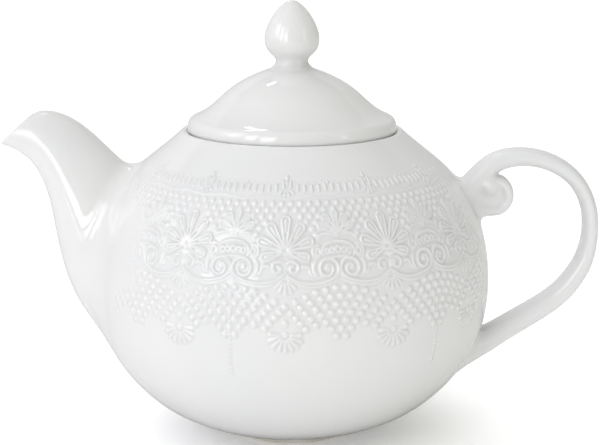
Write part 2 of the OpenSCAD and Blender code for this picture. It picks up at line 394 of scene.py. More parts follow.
def spout_joint():
    """Both edges of the fillet between wall and spout: (ring on the wall, direction outward
    along the wall, wall normal, width) and (stations, ring on the spout, direction, width)."""
    stations = np.linspace(-0.9, 3.2, 500)
    gap = body_distance(spout_point(*np.meshgrid(stations, SPOUT_ANGLES, indexing="ij")))

    def crossing(level):
        """Station at each angle where the spout comes within level of the wall."""
        found = np.zeros(SPOUT_COLS)
        for j in range(SPOUT_COLS):
            near = np.nonzero(gap[:, j] < level[j])[0]
            k = min(near[-1] if len(near) else 0, len(stations) - 2)
            share = (level[j] - gap[k, j]) / max(gap[k + 1, j] - gap[k, j], 1e-6)
            found[j] = stations[k] + (stations[k + 1] - stations[k]) * np.clip(share, 0, 1)
        return found

    cos = np.cos(SPOUT_ANGLES)
    clearance = 2.6 + 7.2 * smooth_step((cos + 1.0) / 0.85) - 1.2 * smooth_step((cos - 0.3) / 0.7)
    meet_station = blur_ring(crossing(np.zeros(SPOUT_COLS)), 1.5)
    start_station = blur_ring(crossing(clearance), 2.5)
    meet = on_body(spout_point(meet_station, SPOUT_ANGLES))  # where the surfaces would meet
    start = spout_point(start_station, SPOUT_ANGLES)
    start_dir = unit(blur_ring(unit(spout_point(start_station - 0.03, SPOUT_ANGLES) - start), 1.5))
    start_width = blur_ring(np.linalg.norm(start - meet, axis=1), 2.5)

    outward = unit(np.cross(np.roll(meet, -1, 0) - np.roll(meet, 1, 0), body_normal(meet)))
    outward *= np.sign(np.sum(outward * (meet - meet.mean(0))))
    outward = unit(blur_ring(outward, 3.0))
    spread = 1.3 - 0.3 * smooth_step((cos - 0.4) / 0.6)
    wall_width = blur_ring(np.clip(start_width * spread, 6.5, 17.0), 3.5)
    wall_ring = meet
    for _ in range(8):
        wall_ring = on_body(wall_ring + outward * wall_width[:, None] / 8)
    normal = body_normal(wall_ring)
    wall_dir = unit(outward - np.sum(outward * normal, 1)[:, None] * normal)
    return (wall_ring, wall_dir, normal, wall_width), (start_station, start, start_dir, start_width)


# ------------------------------------------------------------------ handle: implicit surface
# x, z, half thickness, half width along the strap, from its upper root to its lower root
STRAP = np.array([
    [72.3, 100.4, 4.6, 6.9], [75.3, 104.1, 4.25, 6.5], [79.9, 108.2, 3.95, 6.3],
    [85.6, 110.3, 3.8, 6.2], [92.0, 110.85, 3.6, 6.2], [98.6, 109.95, 3.45, 6.2],
    [105.0, 107.45, 3.35, 6.2], [110.6, 103.6, 3.2, 6.2], [115.0, 98.3, 3.1, 6.2],
    [118.0, 91.4, 3.1, 6.3], [119.1, 83.8, 3.15, 6.3], [118.6, 76.0, 3.3, 6.4],
    [116.1, 67.2, 3.75, 6.5], [110.0, 57.9, 4.15, 6.7], [103.0, 51.6, 4.3, 6.9],
    [96.2, 47.1, 4.45, 7.0], [88.2, 42.2, 4.55, 7.1], [81.4, 38.0, 4.75, 7.3],
    [78.4, 36.1, 4.95, 7.5],
])
STRAP_DRAWN_X = 122.55  # how far out the table reaches, with its thickness
ROLL_ROOT = [[70.5, 90.2, 2.9, 6.4], [74.9, 90.0, 2.75, 6.4], [77.0, 89.7, 2.5, 6.35]]  # same
EYE_X, EYE_Z = 79.7, 95.75  # the scroll coils round this
ROOT_OVERRUN = 16  # the strap is carried so far into the pot


def strap_path():
    strap = STRAP.copy()
    strap[:, 0] += (HANDLE_END_X - STRAP_DRAWN_X) * smooth_step((strap[:, 0] - 75) / 40)
    line, _ = resample(catmull(strap, 20), 0.5)
    line = gauss_line(line, 6.0)
    head, tail = line[0].copy(), line[-1].copy()
    head[:2] -= unit(line[1, :2] - line[0, :2]) * ROOT_OVERRUN
    tail[:2] += unit(line[-1, :2] - line[-2, :2]) * ROOT_OVERRUN
    line, _ = resample(np.vstack([head, line, tail]), 0.4)
    return line


def roll_path():
    """The scroll: out of the wall below the strap, then a coil that tightens round the eye."""
    roll = list(ROLL_ROOT)
    for i in range(9):
        angle = math.radians(-96 + 30 * i)
        inward = max(0.0, (i - 5) / 7)
        radius = 6.15 - 4.75 * inward**0.9
        x = EYE_X + radius * math.cos(angle)
        z = EYE_Z + 1.3 * inward + radius * math.sin(angle)
        roll.append([x, z, 2.3 - 0.2 * inward, 6.25 - 1.1 * inward])
    line, _ = resample(catmull(roll, 16), 0.25)
    return gauss_line(line, 3.0)


def band(x, z, y, line, power):
    """Distance-like value of a superellipse band swept along line."""
    flat = np.stack([x.ravel(), z.ravel()], 1)
    best = np.full(len(flat), 1e18)
    nearest = np.zeros(len(flat), int)
    for k in range(0, len(line), 64):  # in blocks, to spare memory
        square = ((flat[:, None] - line[None, k : k + 64, :2]) ** 2).sum(-1)
        j = square.argmin(1)
        value = square[np.arange(len(flat)), j]
        closer = value < best
        best[closer], nearest[closer] = value[closer], j[closer] + k
    tangent = unit(np.gradient(line[:, :2], axis=0))
    offset = flat - line[nearest, :2]
    ahead = np.sum(offset * tangent[nearest], 1)
    aside = offset[:, 0] * -tangent[nearest, 1] + offset[:, 1] * tangent[nearest, 0]
    last = len(line) - 1
    spacing = np.linalg.norm(np.diff(line[:, :2], axis=0), axis=1).mean()
    place = np.clip(nearest + np.clip(ahead / spacing, -0.75, 0.75), 0, last)
    past_end = (nearest == 0) & (ahead < 0) | (nearest == last) & (ahead > 0)
    overrun = np.where(past_end, np.abs(ahead), 0.0)
    thick, wide = (
        np.interp(place, np.arange(len(line)), line[:, j]).reshape(x.shape)[..., None]
        for j in (2, 3)
    )
    away = np.hypot(aside, overrun).reshape(x.shape)[..., None]
    y = np.abs(y)
    level = ((away / thick) ** power + (y / wide) ** power + 1e-9) ** (1 / power)
    slope = level ** (1 - power) * np.hypot(
        (away / thick) ** (power - 1) / thick, (y / wide) ** (power - 1) / wide
    )
    return np.clip((level - 1) / np.maximum(slope, 1e-3), -8, 60)


def smooth_min(first, second, blend):
    near = np.maximum(blend - np.abs(first - second), 0) / blend
    return np.minimum(first, second) - near * near * near * blend / 6


def surface_nets(values):
    """Vertices in index space, and quads, of the zero level of values."""
    negative = values < 0
    shape = np.array(values.shape)
    corners = list(np.ndindex(2, 2, 2))
    inside_count = np.zeros(shape - 1, int)
    for corner in corners:
        inside_count += negative[tuple(slice(c, n - 1 + c) for c, n in zip(corner, shape))]
    active = (inside_count > 0) & (inside_count < 8)
    ids = np.full(active.shape, -1)
    ids[active] = np.arange(active.sum())
    cells = np.argwhere(active)
    total = np.zeros((len(cells), 3))
    crossings = np.zeros(len(cells))
    for start, end in combinations(corners, 2):
        start, end = np.array(start), np.array(end)
        if np.abs(start - end).sum() != 1:
            continue
        value_a = values[tuple((cells + start).T)]
        value_b = values[tuple((cells + end).T)]
        crossed = (value_a < 0) != (value_b < 0)
        share = np.where(crossed, value_a / np.where(crossed, value_a - value_b, 1), 0)
        total += np.where(crossed[:, None], start + (end - start) * share[:, None], 0)
        crossings += crossed
    vertices = cells + total / crossings[:, None]
    quads = []
    for axis in range(3):
        others = [k for k in range(3) if k != axis]
        below, above = [slice(None)] * 3, [slice(None)] * 3
        below[axis], above[axis] = slice(0, -1), slice(1, None)
        low = negative[tuple(below)]
        edges = np.argwhere(low != negative[tuple(above)])
        within = (edges[:, others] >= 1) & (edges[:, others] < shape[others] - 1)
        edges = edges[np.all(within, 1)]
        inward = low[tuple(edges.T)]
        one, two = np.eye(3, dtype=int)[others]
        around = (edges - one - two, edges - two, edges, edges - one)
        quad = np.stack([ids[tuple(cell.T)] for cell in around], 1)
        turn = inward if axis != 1 else ~inward
        quads.append(np.where(turn[:, None], quad, quad[:, ::-1]))
    return vertices, np.vstack(quads)


def handle_surface():
    """Vertices, normals, the quads of strap and scroll, and a sampler of the distance to both."""
    step = 0.55
    grid_x = np.arange(62, 127, step)
    grid_z = np.arange(22, 119, step)
    grid_y = np.arange(-11 - step / 2, 11 + step, step)
    x, z = np.meshgrid(grid_x, grid_z, indexing="ij")
    y = grid_y[None, None, :]
    low = np.array([grid_x[0], grid_z[0], grid_y[0]])

    def sampler(values):
        """Trilinear sampling of a grid on (x, z, y)."""

        def sample(p):
            spot = (p[..., [0, 2, 1]] - low) / step
            spot = np.clip(spot, 0, np.array(values.shape) - 1.001)
            cell = spot.astype(int)
            part = spot - cell
            total = 0
            for corner in np.ndindex(2, 2, 2):
                weight = np.where(corner, part, 1 - part).prod(-1)
                index = tuple(np.moveaxis(cell + np.array(corner), -1, 0))
                total = total + weight * values[index]
            return total

        return sample

    strap = band(x, z, y, strap_path(), 2.3)
    roll = band(x, z, y, roll_path(), 2.6)
    # a thinner disc fills the coil
    disc = np.hypot(x - EYE_X, z - EYE_Z)[..., None]
    disc = np.maximum(disc - 5.9, np.abs(y) - 4.9)
    # closes the gap between the roll, the strap's root and the wall
    fill = np.hypot((x - 75.5) / 1.15, (z - 96.8) / 1.25)[..., None]
    fill = np.maximum(fill - 5.6, np.abs(y) - 5.2)
    roll = smooth_min(smooth_min(roll, disc, 1.6), fill, 2.4)
    # a round button standing proud of the coil
    button_radius = 5.1
    button = np.hypot((x - 78.4) / button_radius, (z - 99.8) / button_radius)[..., None]
    button = (np.hypot(button, y / 8.3) - 1) * button_radius
    roll = smooth_min(roll, button, 1.3)
    wall = body_distance(np.stack(np.broadcast_arrays(x[..., None], y, z[..., None]), -1))
    handle = smooth_min(strap, roll, 2.6)
    whole = smooth_min(handle, wall, 4.6 + 2.6 * smooth_step((np.abs(y) - 2.5) / 4.0))

    whole_at, handle_at = sampler(whole), sampler(handle)
    slope_x, slope_z, slope_y = np.gradient(whole, step)
    slopes_at = [sampler(slope) for slope in (slope_x, slope_y, slope_z)]
    nets, quads = surface_nets(whole)
    co = (low + nets * step)[:, [0, 2, 1]]
    for _ in range(4):  # vertices on to the surface
        slope = np.stack([at(co) for at in slopes_at], 1)
        co = co - (whole_at(co) / np.maximum((slope**2).sum(1), 0.05))[:, None] * slope
    normals = unit(np.stack([at(co) for at in slopes_at], 1))
    off_wall = body_distance(co)
    own = smooth_step((off_wall - 0.02) / 0.4)[:, None]
    normals = unit(normals * own + body_normal(co) * (1 - own))
    middle = co[quads].mean(1)
    keep = (off_wall[quads].min(1) > 0.015) & (handle_at(middle) < 7.5)
    quads, middle = quads[keep], middle[keep]

    # the fillet's open edge is pressed into the wall, so no gap shows under it
    edges = np.vstack([quads[:, [k, (k + 1) % 4]] for k in range(4)])
    edges, uses = np.unique(np.sort(edges, 1), axis=0, return_counts=True)
    border = np.unique(edges[uses == 1])
    border = border[off_wall[border] < 0.4]
    co[border] -= (off_wall[border] + 0.015)[:, None] * body_normal(co[border])

    wrong = np.sum(face_normals(co, quads) * normals[quads[:, 0]], 1) < 0
    quads[wrong] = quads[wrong][:, ::-1]
    is_roll = (sampler(roll)(middle) < sampler(strap)(middle)) & (middle[:, 2] > 80)
    return co, normals, quads[~is_roll], quads[is_roll], handle_at


# ------------------------------------------------------------------ lace: drawing tools
# One half repeat of the relief is drawn flat in millimetres: "along" runs round the equator from
# the palmette's axis at 0 to the half flower's axis at HALF, "up" is arc length above the equator.
REPEAT = math.radians(30)
LACE_RADIUS = 78.0
PITCH = REPEAT * LACE_RADIUS
HALF = PITCH / 2
GRID = 0.12
GRID_ALONG = np.arange(-2.0, HALF + 2.0, GRID)
GRID_UP = np.arange(-28, 60, GRID)
LACE = np.zeros((len(GRID_UP), len(GRID_ALONG)))
PENDANT = np.zeros_like(LACE)
UPRIGHT = 90  # degrees; motif angles are measured from the along axis


def dome(distance, radius):
    """Rounded profile: 1 on the axis, 0 at the radius."""
    return np.sqrt(np.clip(1 - (distance / radius) ** 2, 0, 1))


def stamp(box, height_of, layer=LACE):
    """Raises a layer to height_of(along, up) inside box: along low, high, up low, high."""
    col_a, col_b = np.searchsorted(GRID_ALONG, box[:2])
    row_a, row_b = np.searchsorted(GRID_UP, box[2:])
    if row_b <= row_a or col_b <= col_a:
        return
    along, up = np.meshgrid(GRID_ALONG[col_a:col_b], GRID_UP[row_a:row_b])
    part = layer[row_a:row_b, col_a:col_b]
    np.maximum(part, height_of(along, up), out=part)


def bead(along, up, radius, height, layer=LACE, squash=1.0, dimple=0.0):
    def height_of(grid_along, grid_up):
        distance = np.hypot(grid_along - along, (grid_up - up) / squash)
        hollow = height * dimple * np.exp(-((distance / (0.42 * radius)) ** 2))
        return height * dome(distance, radius) ** 1.15 - hollow

    wide, tall = radius + 0.3, radius * squash + 0.3
    stamp((along - wide, along + wide, up - tall, up + tall), height_of, layer)


def link_ring(along, up, radius, squash, lowest):
    """An upright oval ring, cut off below lowest."""
    width = 0.42

    def height_of(grid_along, grid_up):
        distance = np.hypot(grid_along - along, (grid_up - up) / squash) - radius
        return 0.42 * dome(np.abs(distance), width)

    stamp((along - 1.8, along + 1.8, lowest, 28.0), height_of)


def cone_distance(x, y, degrees, start, start_radius, end, end_radius):
    """Distance to a round cone lying from start to end along a direction from the origin."""
    cos, sin = math.cos(math.radians(degrees)), math.sin(math.radians(degrees))
    ahead = x * cos + y * sin - start
    aside = np.abs(-x * sin + y * cos)
    length = end - start
    lean = (start_radius - end_radius) / length
    level = math.sqrt(max(1 - lean * lean, 1e-6))
    along = -lean * aside + level * ahead
    side = aside * level + ahead * lean - start_radius
    beyond = np.hypot(aside, ahead - length) - end_radius
    beyond = np.where(along > level * length, beyond, side)
    return np.where(along < 0, np.hypot(aside, ahead) - start_radius, beyond)


def reach_box(along, up, degrees, span, margin):
    """Box round a line of length span that leaves (along, up) in a direction."""
    x = span * math.cos(math.radians(degrees))
    y = span * math.sin(math.radians(degrees))
    box_along = (along + min(0, x) - margin, along + max(0, x) + margin)
    return (*box_along, up + min(0, y) - margin, up + max(0, y) + margin)


def petal(along, up, degrees, length, tip, height, root=1.7, root_radius=0.55, line=0.52):
    """A looped petal: an outline ridge with a drop inside. tip is the radius of its end."""

    def height_of(grid_along, grid_up):
        x, y = grid_along - along, grid_up - up
        outline = cone_distance(x, y, degrees, root, root_radius, length - tip, tip)
        ridge = height * dome(outline + line * 0.5, line) ** 1.1
        inner = cone_distance(x, y, degrees, length * 0.5, 0.28, length - tip * 1.02, tip * 0.42)
        ridge = np.maximum(ridge, 0.8 * height * dome(np.maximum(inner + 0.5, 0), 0.62))
        return np.where(inner < -0.5, np.maximum(ridge, 0.8 * height), ridge)

    stamp(reach_box(along, up, degrees, length + 1.5, 3), height_of)


def drop(along, up, degrees, start, start_radius, end, end_radius, height):
    """A solid drop lying along a direction."""
    radius = 0.5 * (start_radius + end_radius)

    def height_of(grid_along, grid_up):
        x, y = grid_along - along, grid_up - up
        distance = cone_distance(x, y, degrees, start, start_radius, end, end_radius)
        return height * dome(np.clip(distance + radius, 0, None), radius)

    stamp(reach_box(along, up, degrees, end + end_radius + 0.5, 2), height_of)


def stroke(points, width, height, taper=(1.0, 1.0), samples=14, mirror=None):
    """A ridge along a smooth curve. width is half the ridge's, taper its share at each end.
    With mirror, points are offsets from that axis and both sides are drawn."""
    points = np.array(points, float)
    if mirror is not None:
        for side in (1, -1):
            stroke(points * [side, 1] + [mirror, 0], width, height, taper, samples)
        return
    line = catmull(points, samples)
    at = np.linspace(0, 1, len(line))
    share = taper[0] + (1 - taper[0]) * smooth_step(at / 0.3)
    share = share * (taper[1] + (1 - taper[1]) * smooth_step((1 - at) / 0.3))

    def height_of(along, up):
        ridge = np.zeros_like(along)
        for start, end, part in zip(line[:-1], line[1:], share[:-1]):
            edge = end - start
            square = max(float(edge @ edge), 1e-9)
            t = ((along - start[0]) * edge[0] + (up - start[1]) * edge[1]) / square
            t = np.clip(t, 0, 1)
            distance = np.hypot(along - start[0] - t * edge[0], up - start[1] - t * edge[1])
            crest = (0.35 + 0.65 * part) * height
            ridge = np.maximum(ridge, crest * dome(distance, width * part) ** 1.1)
        return ridge

    low, high = line.min(0), line.max(0)
    box = (low[0] - width - 0.4, high[0] + width + 0.4, low[1] - width - 0.4, high[1] + width + 0.4)
    stamp(box, height_of)


# ------------------------------------------------------------------ lace: motifs
# curls drawn on both sides of the palmette's axis: half width, height, taper, (offset, up) points
PALMETTE_CURLS = (
    (0.52, 0.5, (0.6, 0.9), [
        [0.5, 21.2], [1.5, 22.0], [3.2, 21.9], [4.6, 20.8], [4.7, 19.0], [3.4, 17.9],
        [2.1, 18.4], [1.9, 19.8], [2.9, 20.3]]),
    (0.5, 0.42, (0.4, 0.5), [[5.6, 19.6], [6.8, 20.3], [8.3, 20.2], [9.0, 19.2]]),
)
# the swag that ends in a spiral, and the strokes round it: same columns, drawn once
SWAG = (
    (0.62, 0.6, (0.7, 0.8), [
        [0.0, 17.7], [1.6, 16.5], [4.0, 15.1], [7.0, 14.25], [10.0, 14.0], [13.2, 14.35],
        [16.4, 15.2], [18.8, 16.6], [20.0, 18.6], [19.7, 20.9], [18.2, 22.5], [15.9, 22.9],
        [13.8, 21.8], [12.9, 19.6], [13.5, 17.6], [15.3, 16.6], [17.1, 17.2], [17.9, 18.8],
        [17.3, 20.4], [15.9, 20.6], [15.3, 19.5]]),
    (0.46, 0.42, (0.5, 0.4), [
        [0.3, 16.2], [2.0, 15.0], [4.4, 13.8], [7.3, 13.05], [10.2, 12.8], [13.2, 13.15],
        [16.2, 13.9], [18.6, 14.9], [20.6, 16.6]]),
    (0.5, 0.45, (0.4, 0.4), [[19.3, 16.4], [20.4, 17.4], [21.5, 16.4]]),
    (0.72, 0.45, (0.25, 0.25), [[11.9, 16.3], [10.9, 17.6], [10.5, 19.4], [10.8, 21.2], [11.8, 22.6]]),
    (0.45, 0.35, (0.3, 0.3), [[9.0, 19.2], [9.3, 17.9], [10.4, 16.6]]),
)
# leaf strokes, arch, base line and outer hook on both sides of the half flower's axis
FLOWER_STROKES = (
    (0.55, 0.45, (0.5, 0.6), [[1.6, 31.9], [4.2, 32.3], [6.6, 31.6], [7.9, 30.4]]),
    (0.52, 0.5, (1, 0.5), [
        [0.0, 29.3], [2.6, 29.0], [4.9, 28.0], [6.1, 26.4], [6.3, 24.6], [5.6, 23.6]]),
    (0.42, 0.36, (1, 0.5), [[0.0, 23.6], [2.2, 23.5], [4.4, 23.6]]),
    (0.5, 0.48, (0.4, 0.5), [[8.7, 22.9], [9.9, 24.6], [9.8, 26.7], [8.3, 28.0], [6.9, 27.6]]),
)


def draw_palmette():
    hub_up = 25.8
    bead(0, hub_up, radius=1.75, height=0.62, dimple=0.7)
    for degrees, length, tip in (  # degrees, length, tip radius
        (90, 13.4, 1.9), (56, 12.4, 1.95), (124, 12.4, 1.95), (20, 11.6, 1.9),
        (160, 11.6, 1.9), (-17, 9.6, 1.75), (197, 9.6, 1.75),
    ):
        petal(0, hub_up, degrees, length, tip, height=0.62)
    for width, height, taper, points in PALMETTE_CURLS:
        stroke(points, width, height, taper, mirror=0)
    for width, height, taper, points in SWAG:
        stroke(points, width, height, taper)
    bead(16.3, 19.3, radius=0.85, height=0.45)
    # fan below the swag's start: lean from straight down, end, end radius
    for lean, end, radius in ((0, 5.6, 0.62), (23, 5.3, 0.6), (45, 4.9, 0.58)):
        for side in (1, -1):
            drop(0, 16.0, side * lean - 90, 1.7, 0.3, end, radius, height=0.42)


def draw_half_flower():
    hub_up = 32.3
    bead(HALF, hub_up, radius=1.3, height=0.55, dimple=0.6)
    for degrees, length, tip in (  # degrees, length, tip radius
        (90, 8.9, 1.35), (123, 8.6, 1.55), (57, 8.6, 1.55), (154, 8.2, 1.5), (26, 8.2, 1.5),
    ):
        petal(HALF, hub_up, degrees, length, tip, height=0.52, root=1.5, root_radius=0.45,
              line=0.46)
    for width, height, taper, points in FLOWER_STROKES:
        stroke(points, width, height, taper, mirror=HALF)
    # rings under the arch and one outside it, on each side: offset, up, radius, squash, lowest
    for offset, up, radius, squash, lowest in (
        (0.0, 26.2, 0.9, 1.25, 24.2),
        (2.25, 26.2 - 0.12 * 2.25, 0.78, 1.25, 24.2),
        (4.35, 26.2 - 0.12 * 4.35, 0.78, 1.25, 24.2),
        (8.0, 25.3, 0.85, 1.7, 22.8),
    ):
        for side in (1, -1):
            link_ring(HALF + side * offset, up, radius, squash, lowest)


def draw_upper_field():
    spacing = PITCH / 10
    for up, cols in (
        (44.3, (0.5, 1.5, 2.5, 3.5, 4.5)), (41.7, (0, 1, 2, 3, 4, 5)), (39.1, (1.5, 2.5, 3.45)),
        (36.6, (2.05, 3.0)), (34.1, (2.6,)), (31.8, (2.95,)),
    ):
        for col in cols:
            bead(col * spacing, up, radius=1.22, height=0.46, squash=0.96)


def draw_shoulder_band():
    """Scalloped line, a row of ticks above it and small beads on the two axes."""
    scallop = [
        [along, 46.9 - 0.68 * math.cos(2 * math.pi * along / HALF) ** 3]
        for along in np.linspace(-1.9, HALF + 1.9, 30)
    ]
    stroke(scallop, width=0.55, height=0.2, samples=3)
    tick_pitch = PITCH / 12
    for k in range(6):
        along = (k + 0.5) * tick_pitch
        rise = 1.9 * math.exp(-((along / 4.2) ** 2))
        rise += 0.8 * math.exp(-(((HALF - along) / 3.0) ** 2))
        drop(along, 49.4 + rise, UPRIGHT, 0.4, 0.72, 2.7, 0.72, height=0.42)
        bead(along - tick_pitch / 2, 53.6 + rise, radius=0.5, height=0.22)
    for along, up, radius, height, squash in (
        (0, 56.2, 1.0, 0.48, 1.25), (0, 53.6, 0.85, 0.42, 1.2), (1.9, 54.2, 0.8, 0.42, 1.0),
        (-1.9, 54.2, 0.8, 0.42, 1.0), (HALF, 53.6, 0.75, 0.36, 1.2),
    ):
        bead(along, up, radius, height, squash=squash)
    for degrees, end in ((-74, 3.5), (-106, 3.5), (-38, 3.7), (-142, 3.7)):
        drop(0, 51.2, degrees, 1.0, 0.3, end, 0.58, height=0.4)


def draw_lower_mesh():
    """Rows of beads that sag towards the palmette's axis, round a rosette."""
    rosette_up = -4.7
    for row in range(8):
        for col in np.arange(-0.5, 6.51, 1.0) + (0.0 if row % 2 else 0.5):
            along = col * PITCH / 11
            arch = 12.3
            if along <= HALF:
                arch = 5.4 + 6.9 * math.sin(math.pi / 2 * min(max(along, 0) / HALF, 1.0))
            up = arch - 2.95 * row
            lowest = -3.1 - 3.6 * max(0.0, 1 - abs(HALF - along) / 6.0)
            in_rosette = math.hypot(along, up - rosette_up) < 3.6
            if up < lowest or in_rosette or (abs(along) < 6.4 and up < -3.4):
                continue
            bead(along, up, radius=1.3, height=0.58, squash=0.95)
    bead(0, rosette_up, radius=1.25, height=0.5, dimple=0.55)
    for k in range(-4, 5):
        end = 6.2 if abs(k) < 4 else 5.4
        drop(0, rosette_up, -90 + k * 22.5, 2.1, 0.42, end, 0.86, height=0.46)


def draw_pendant():
    """A string of small dots on every second half flower's axis."""
    for up in np.arange(1.5, -21.5, -1.68):
        bead(HALF, up, radius=0.66 if up > -19.5 else 0.9, height=0.34, layer=PENDANT)


def soften(layer):
    reach, kernel = gauss_kernel(0.17 / GRID)
    for axis in (0, 1):
        pad = [(0, 0), (0, 0)]
        pad[axis] = (reach, reach)
        padded = np.pad(layer, pad, "edge")
        layer = np.apply_along_axis(lambda x: np.convolve(x, kernel, "valid"), axis, padded)
    return layer


draw_palmette()
draw_half_flower()
draw_upper_field()
draw_shoulder_band()
draw_lower_mesh()
draw_pendant()
SOFT_LACE, SOFT_PENDANT = soften(LACE), soften(PENDANT)


# ------------------------------------------------------------------ lace: on the pot
def look_up(layer, along, up):
    """Bilinear sampling of a drawn layer."""
    row = np.clip((up - GRID_UP[0]) / GRID, 0, len(GRID_UP) - 1.001)
    col = np.clip((along - GRID_ALONG[0]) / GRID, 0, len(GRID_ALONG) - 1.001)
    i, j = row.astype(int), col.astype(int)
    f, g = row - i, col - j
    return (
        layer[i, j] * (1 - f) * (1 - g)
        + layer[i + 1, j] * f * (1 - g)
        + layer[i, j + 1] * (1 - f) * g
        + layer[i + 1, j + 1] * f * g
    )


def ripple(theta, up, scale, seed, count=9):
    """Smooth noise about -1 to 1 that closes round the pot."""
    random = np.random.default_rng(seed)
    total = 0
    for _ in range(count):
        turns = int(round(random.normal() * LACE_RADIUS / scale))
        rise = random.normal() / scale
        total = total + np.sin(turns * theta + rise * up + random.uniform(0, 6.28))
    return total / math.sqrt(count) * 0.8


def relief_height(theta, up):
    """Height of the lace over the pot at angle theta and arc length up above the equator."""
    turned = theta + math.radians(1.75)
    sway_along = 0.12 * ripple(theta, up, 9.0, seed=11) * 0.6
    sway_up = 0.12 * ripple(theta, up, 11.0, seed=12)
    in_cell = np.mod(turned, REPEAT)
    folded = np.where(in_cell > REPEAT / 2, REPEAT - in_cell, in_cell)
    height = look_up(SOFT_LACE, folded * LACE_RADIUS + sway_along, up + sway_up)
    in_pair = np.mod(turned + REPEAT / 2, 2 * REPEAT)
    from_axis = np.abs(np.where(in_pair > REPEAT, 2 * REPEAT - in_pair, in_pair))
    along = HALF - from_axis * LACE_RADIUS
    pendant = look_up(SOFT_PENDANT, np.maximum(along, 0), up + sway_up)
    height = np.maximum(height, np.where(along > 0, pendant, 0))
    return 1.16 * height * (1.0 + 0.1 * ripple(theta, up, 14.0, seed=13))


def ring_distance(points, ring):
    """Distance from points to a closed loop of points."""
    nearest = np.full(len(points), 1e9)
    edge = np.roll(ring, -1, 0) - ring
    square = (edge**2).sum(1)
    for k in range(0, len(points), 20000):  # in blocks, to spare memory
        offset = points[k : k + 20000, None] - ring[None]
        t = np.clip((offset * edge[None]).sum(-1) / square, 0, 1)
        gap = ((offset - t[..., None] * edge[None]) ** 2).sum(-1)
        nearest[k : k + 20000] = np.sqrt(gap.min(1))
    return nearest


def lace_mask(surface, up, footprint, handle_at):
    """1 where the lace stands in full; it fades out round the spout and the handle."""
    mask = np.ones_like(up)
    side = surface[..., 0] < -30
    points, side_up = surface[side], up[side]
    inside = in_loop(points[:, 1:], footprint[:, 1:])
    away = ring_distance(points, footprint)
    # the palmettes stop further off than the beads and the shoulder band
    middle = smooth_step((side_up + 2) / 10) * (1 - smooth_step((side_up - 30) / 12))
    fade = smooth_step((away + 1.5 - 13.0 * middle) / (25.0 - 6.0 * middle))
    mask[side] = np.where(inside, 0, fade)
    near_handle = surface[..., 0] > 60
    mask[near_handle] = smooth_step((handle_at(surface[near_handle]) - 5.6) / 4.0)
    off_grid = (np.abs(surface[..., 1]) > 12) | (surface[..., 2] < 24)
    mask[near_handle & off_grid] = 1
    from_handle = np.degrees(np.arctan2(np.abs(surface[..., 1]), surface[..., 0]))
    mask *= smooth_step((from_handle - 12.0) / 18.0)
    return mask


def hollows(height):
    """How far the surface lies below its surroundings: where glaze gathers and where the lace material
    paints shade.
    """
    reach = 3
    kernel = np.ones(2 * reach + 1) / (2 * reach + 1)

    def wrapped(x):
        return np.convolve(np.concatenate([x[-reach:], x, x[:reach]]), kernel, "valid")

    def edged(x):
        return np.convolve(np.pad(x, reach, "edge"), kernel, "valid")

    mean = np.apply_along_axis(edged, 0, np.apply_along_axis(wrapped, 1, height))
    return np.clip((mean - height) / 0.2, 0, 1)


# ------------------------------------------------------------------ the pot's shell
COLS = 1440  # round the outside
INNER_COLS = 240  # round the lining and the underside
FLOOR_Z = 7.0
HOLE_RADIUS, HOLE_PITCH, HOLE_SIDES = 4.2 / 2, 7.4, 32
HOLES_Z = 70
# radius, height: rim of the mouth, ledge and throat as one rounded section
RIM = np.array([
    [46.4, 119.3], [45.5, 120.15], [44.6, 121.0], [43.9, 121.62], [43.3, 121.95],
    [42.75, 122.03], [42.2, 121.96], [41.8, 121.76], [41.5, 121.42], [41.15, 121.15],
    [40.5, 121.02], [39.9, 121.0], [39.2, 121.0], [37.9, 121.0], [37.35, 120.75], [37.2, 120.2],
    [37.2, 118.6], [37.2, 117.2], [37.45, 116.3], [38.3, 115.5], [40.4, 114.9], [43.2, 114.75],
])
# radius, height: the slightly domed bottom inside the foot ring
UNDERSIDE = np.array([
    [26.6, 2.58], [24.0, 2.62], [21.4, 2.7], [18.0, 2.95], [12.0, 3.2], [6.0, 3.32], [1.2, 3.35],
])


def strainer_holes():
    """(y, z) of the holes through the wall behind the spout, in staggered rows."""
    holes = []
    for row in range(-2, 3):
        for i in (-1.5, -0.5, 0.5, 1.5):
            y = (i + (0.5 if row % 2 else 0)) * HOLE_PITCH
            z = HOLES_Z + row * HOLE_PITCH * 0.9
            if (y / 13.6) ** 2 + ((z - HOLES_Z) / 17) ** 2 < 1:
                holes.append((y, z))
    return holes


def stitch(fine_first, coarse_first, flip=False):
    """Faces between a ring of the outside and a coarser ring."""
    per = COLS // INNER_COLS
    faces = []
    for j in range(INNER_COLS):
        fine = [fine_first + (j * per + k) % COLS for k in range(per + 1)]
        coarse = [coarse_first + j, coarse_first + (j + 1) % INNER_COLS]
        faces.append(fine[::-1] + coarse if flip else fine + coarse[::-1])
    return np.array(faces)


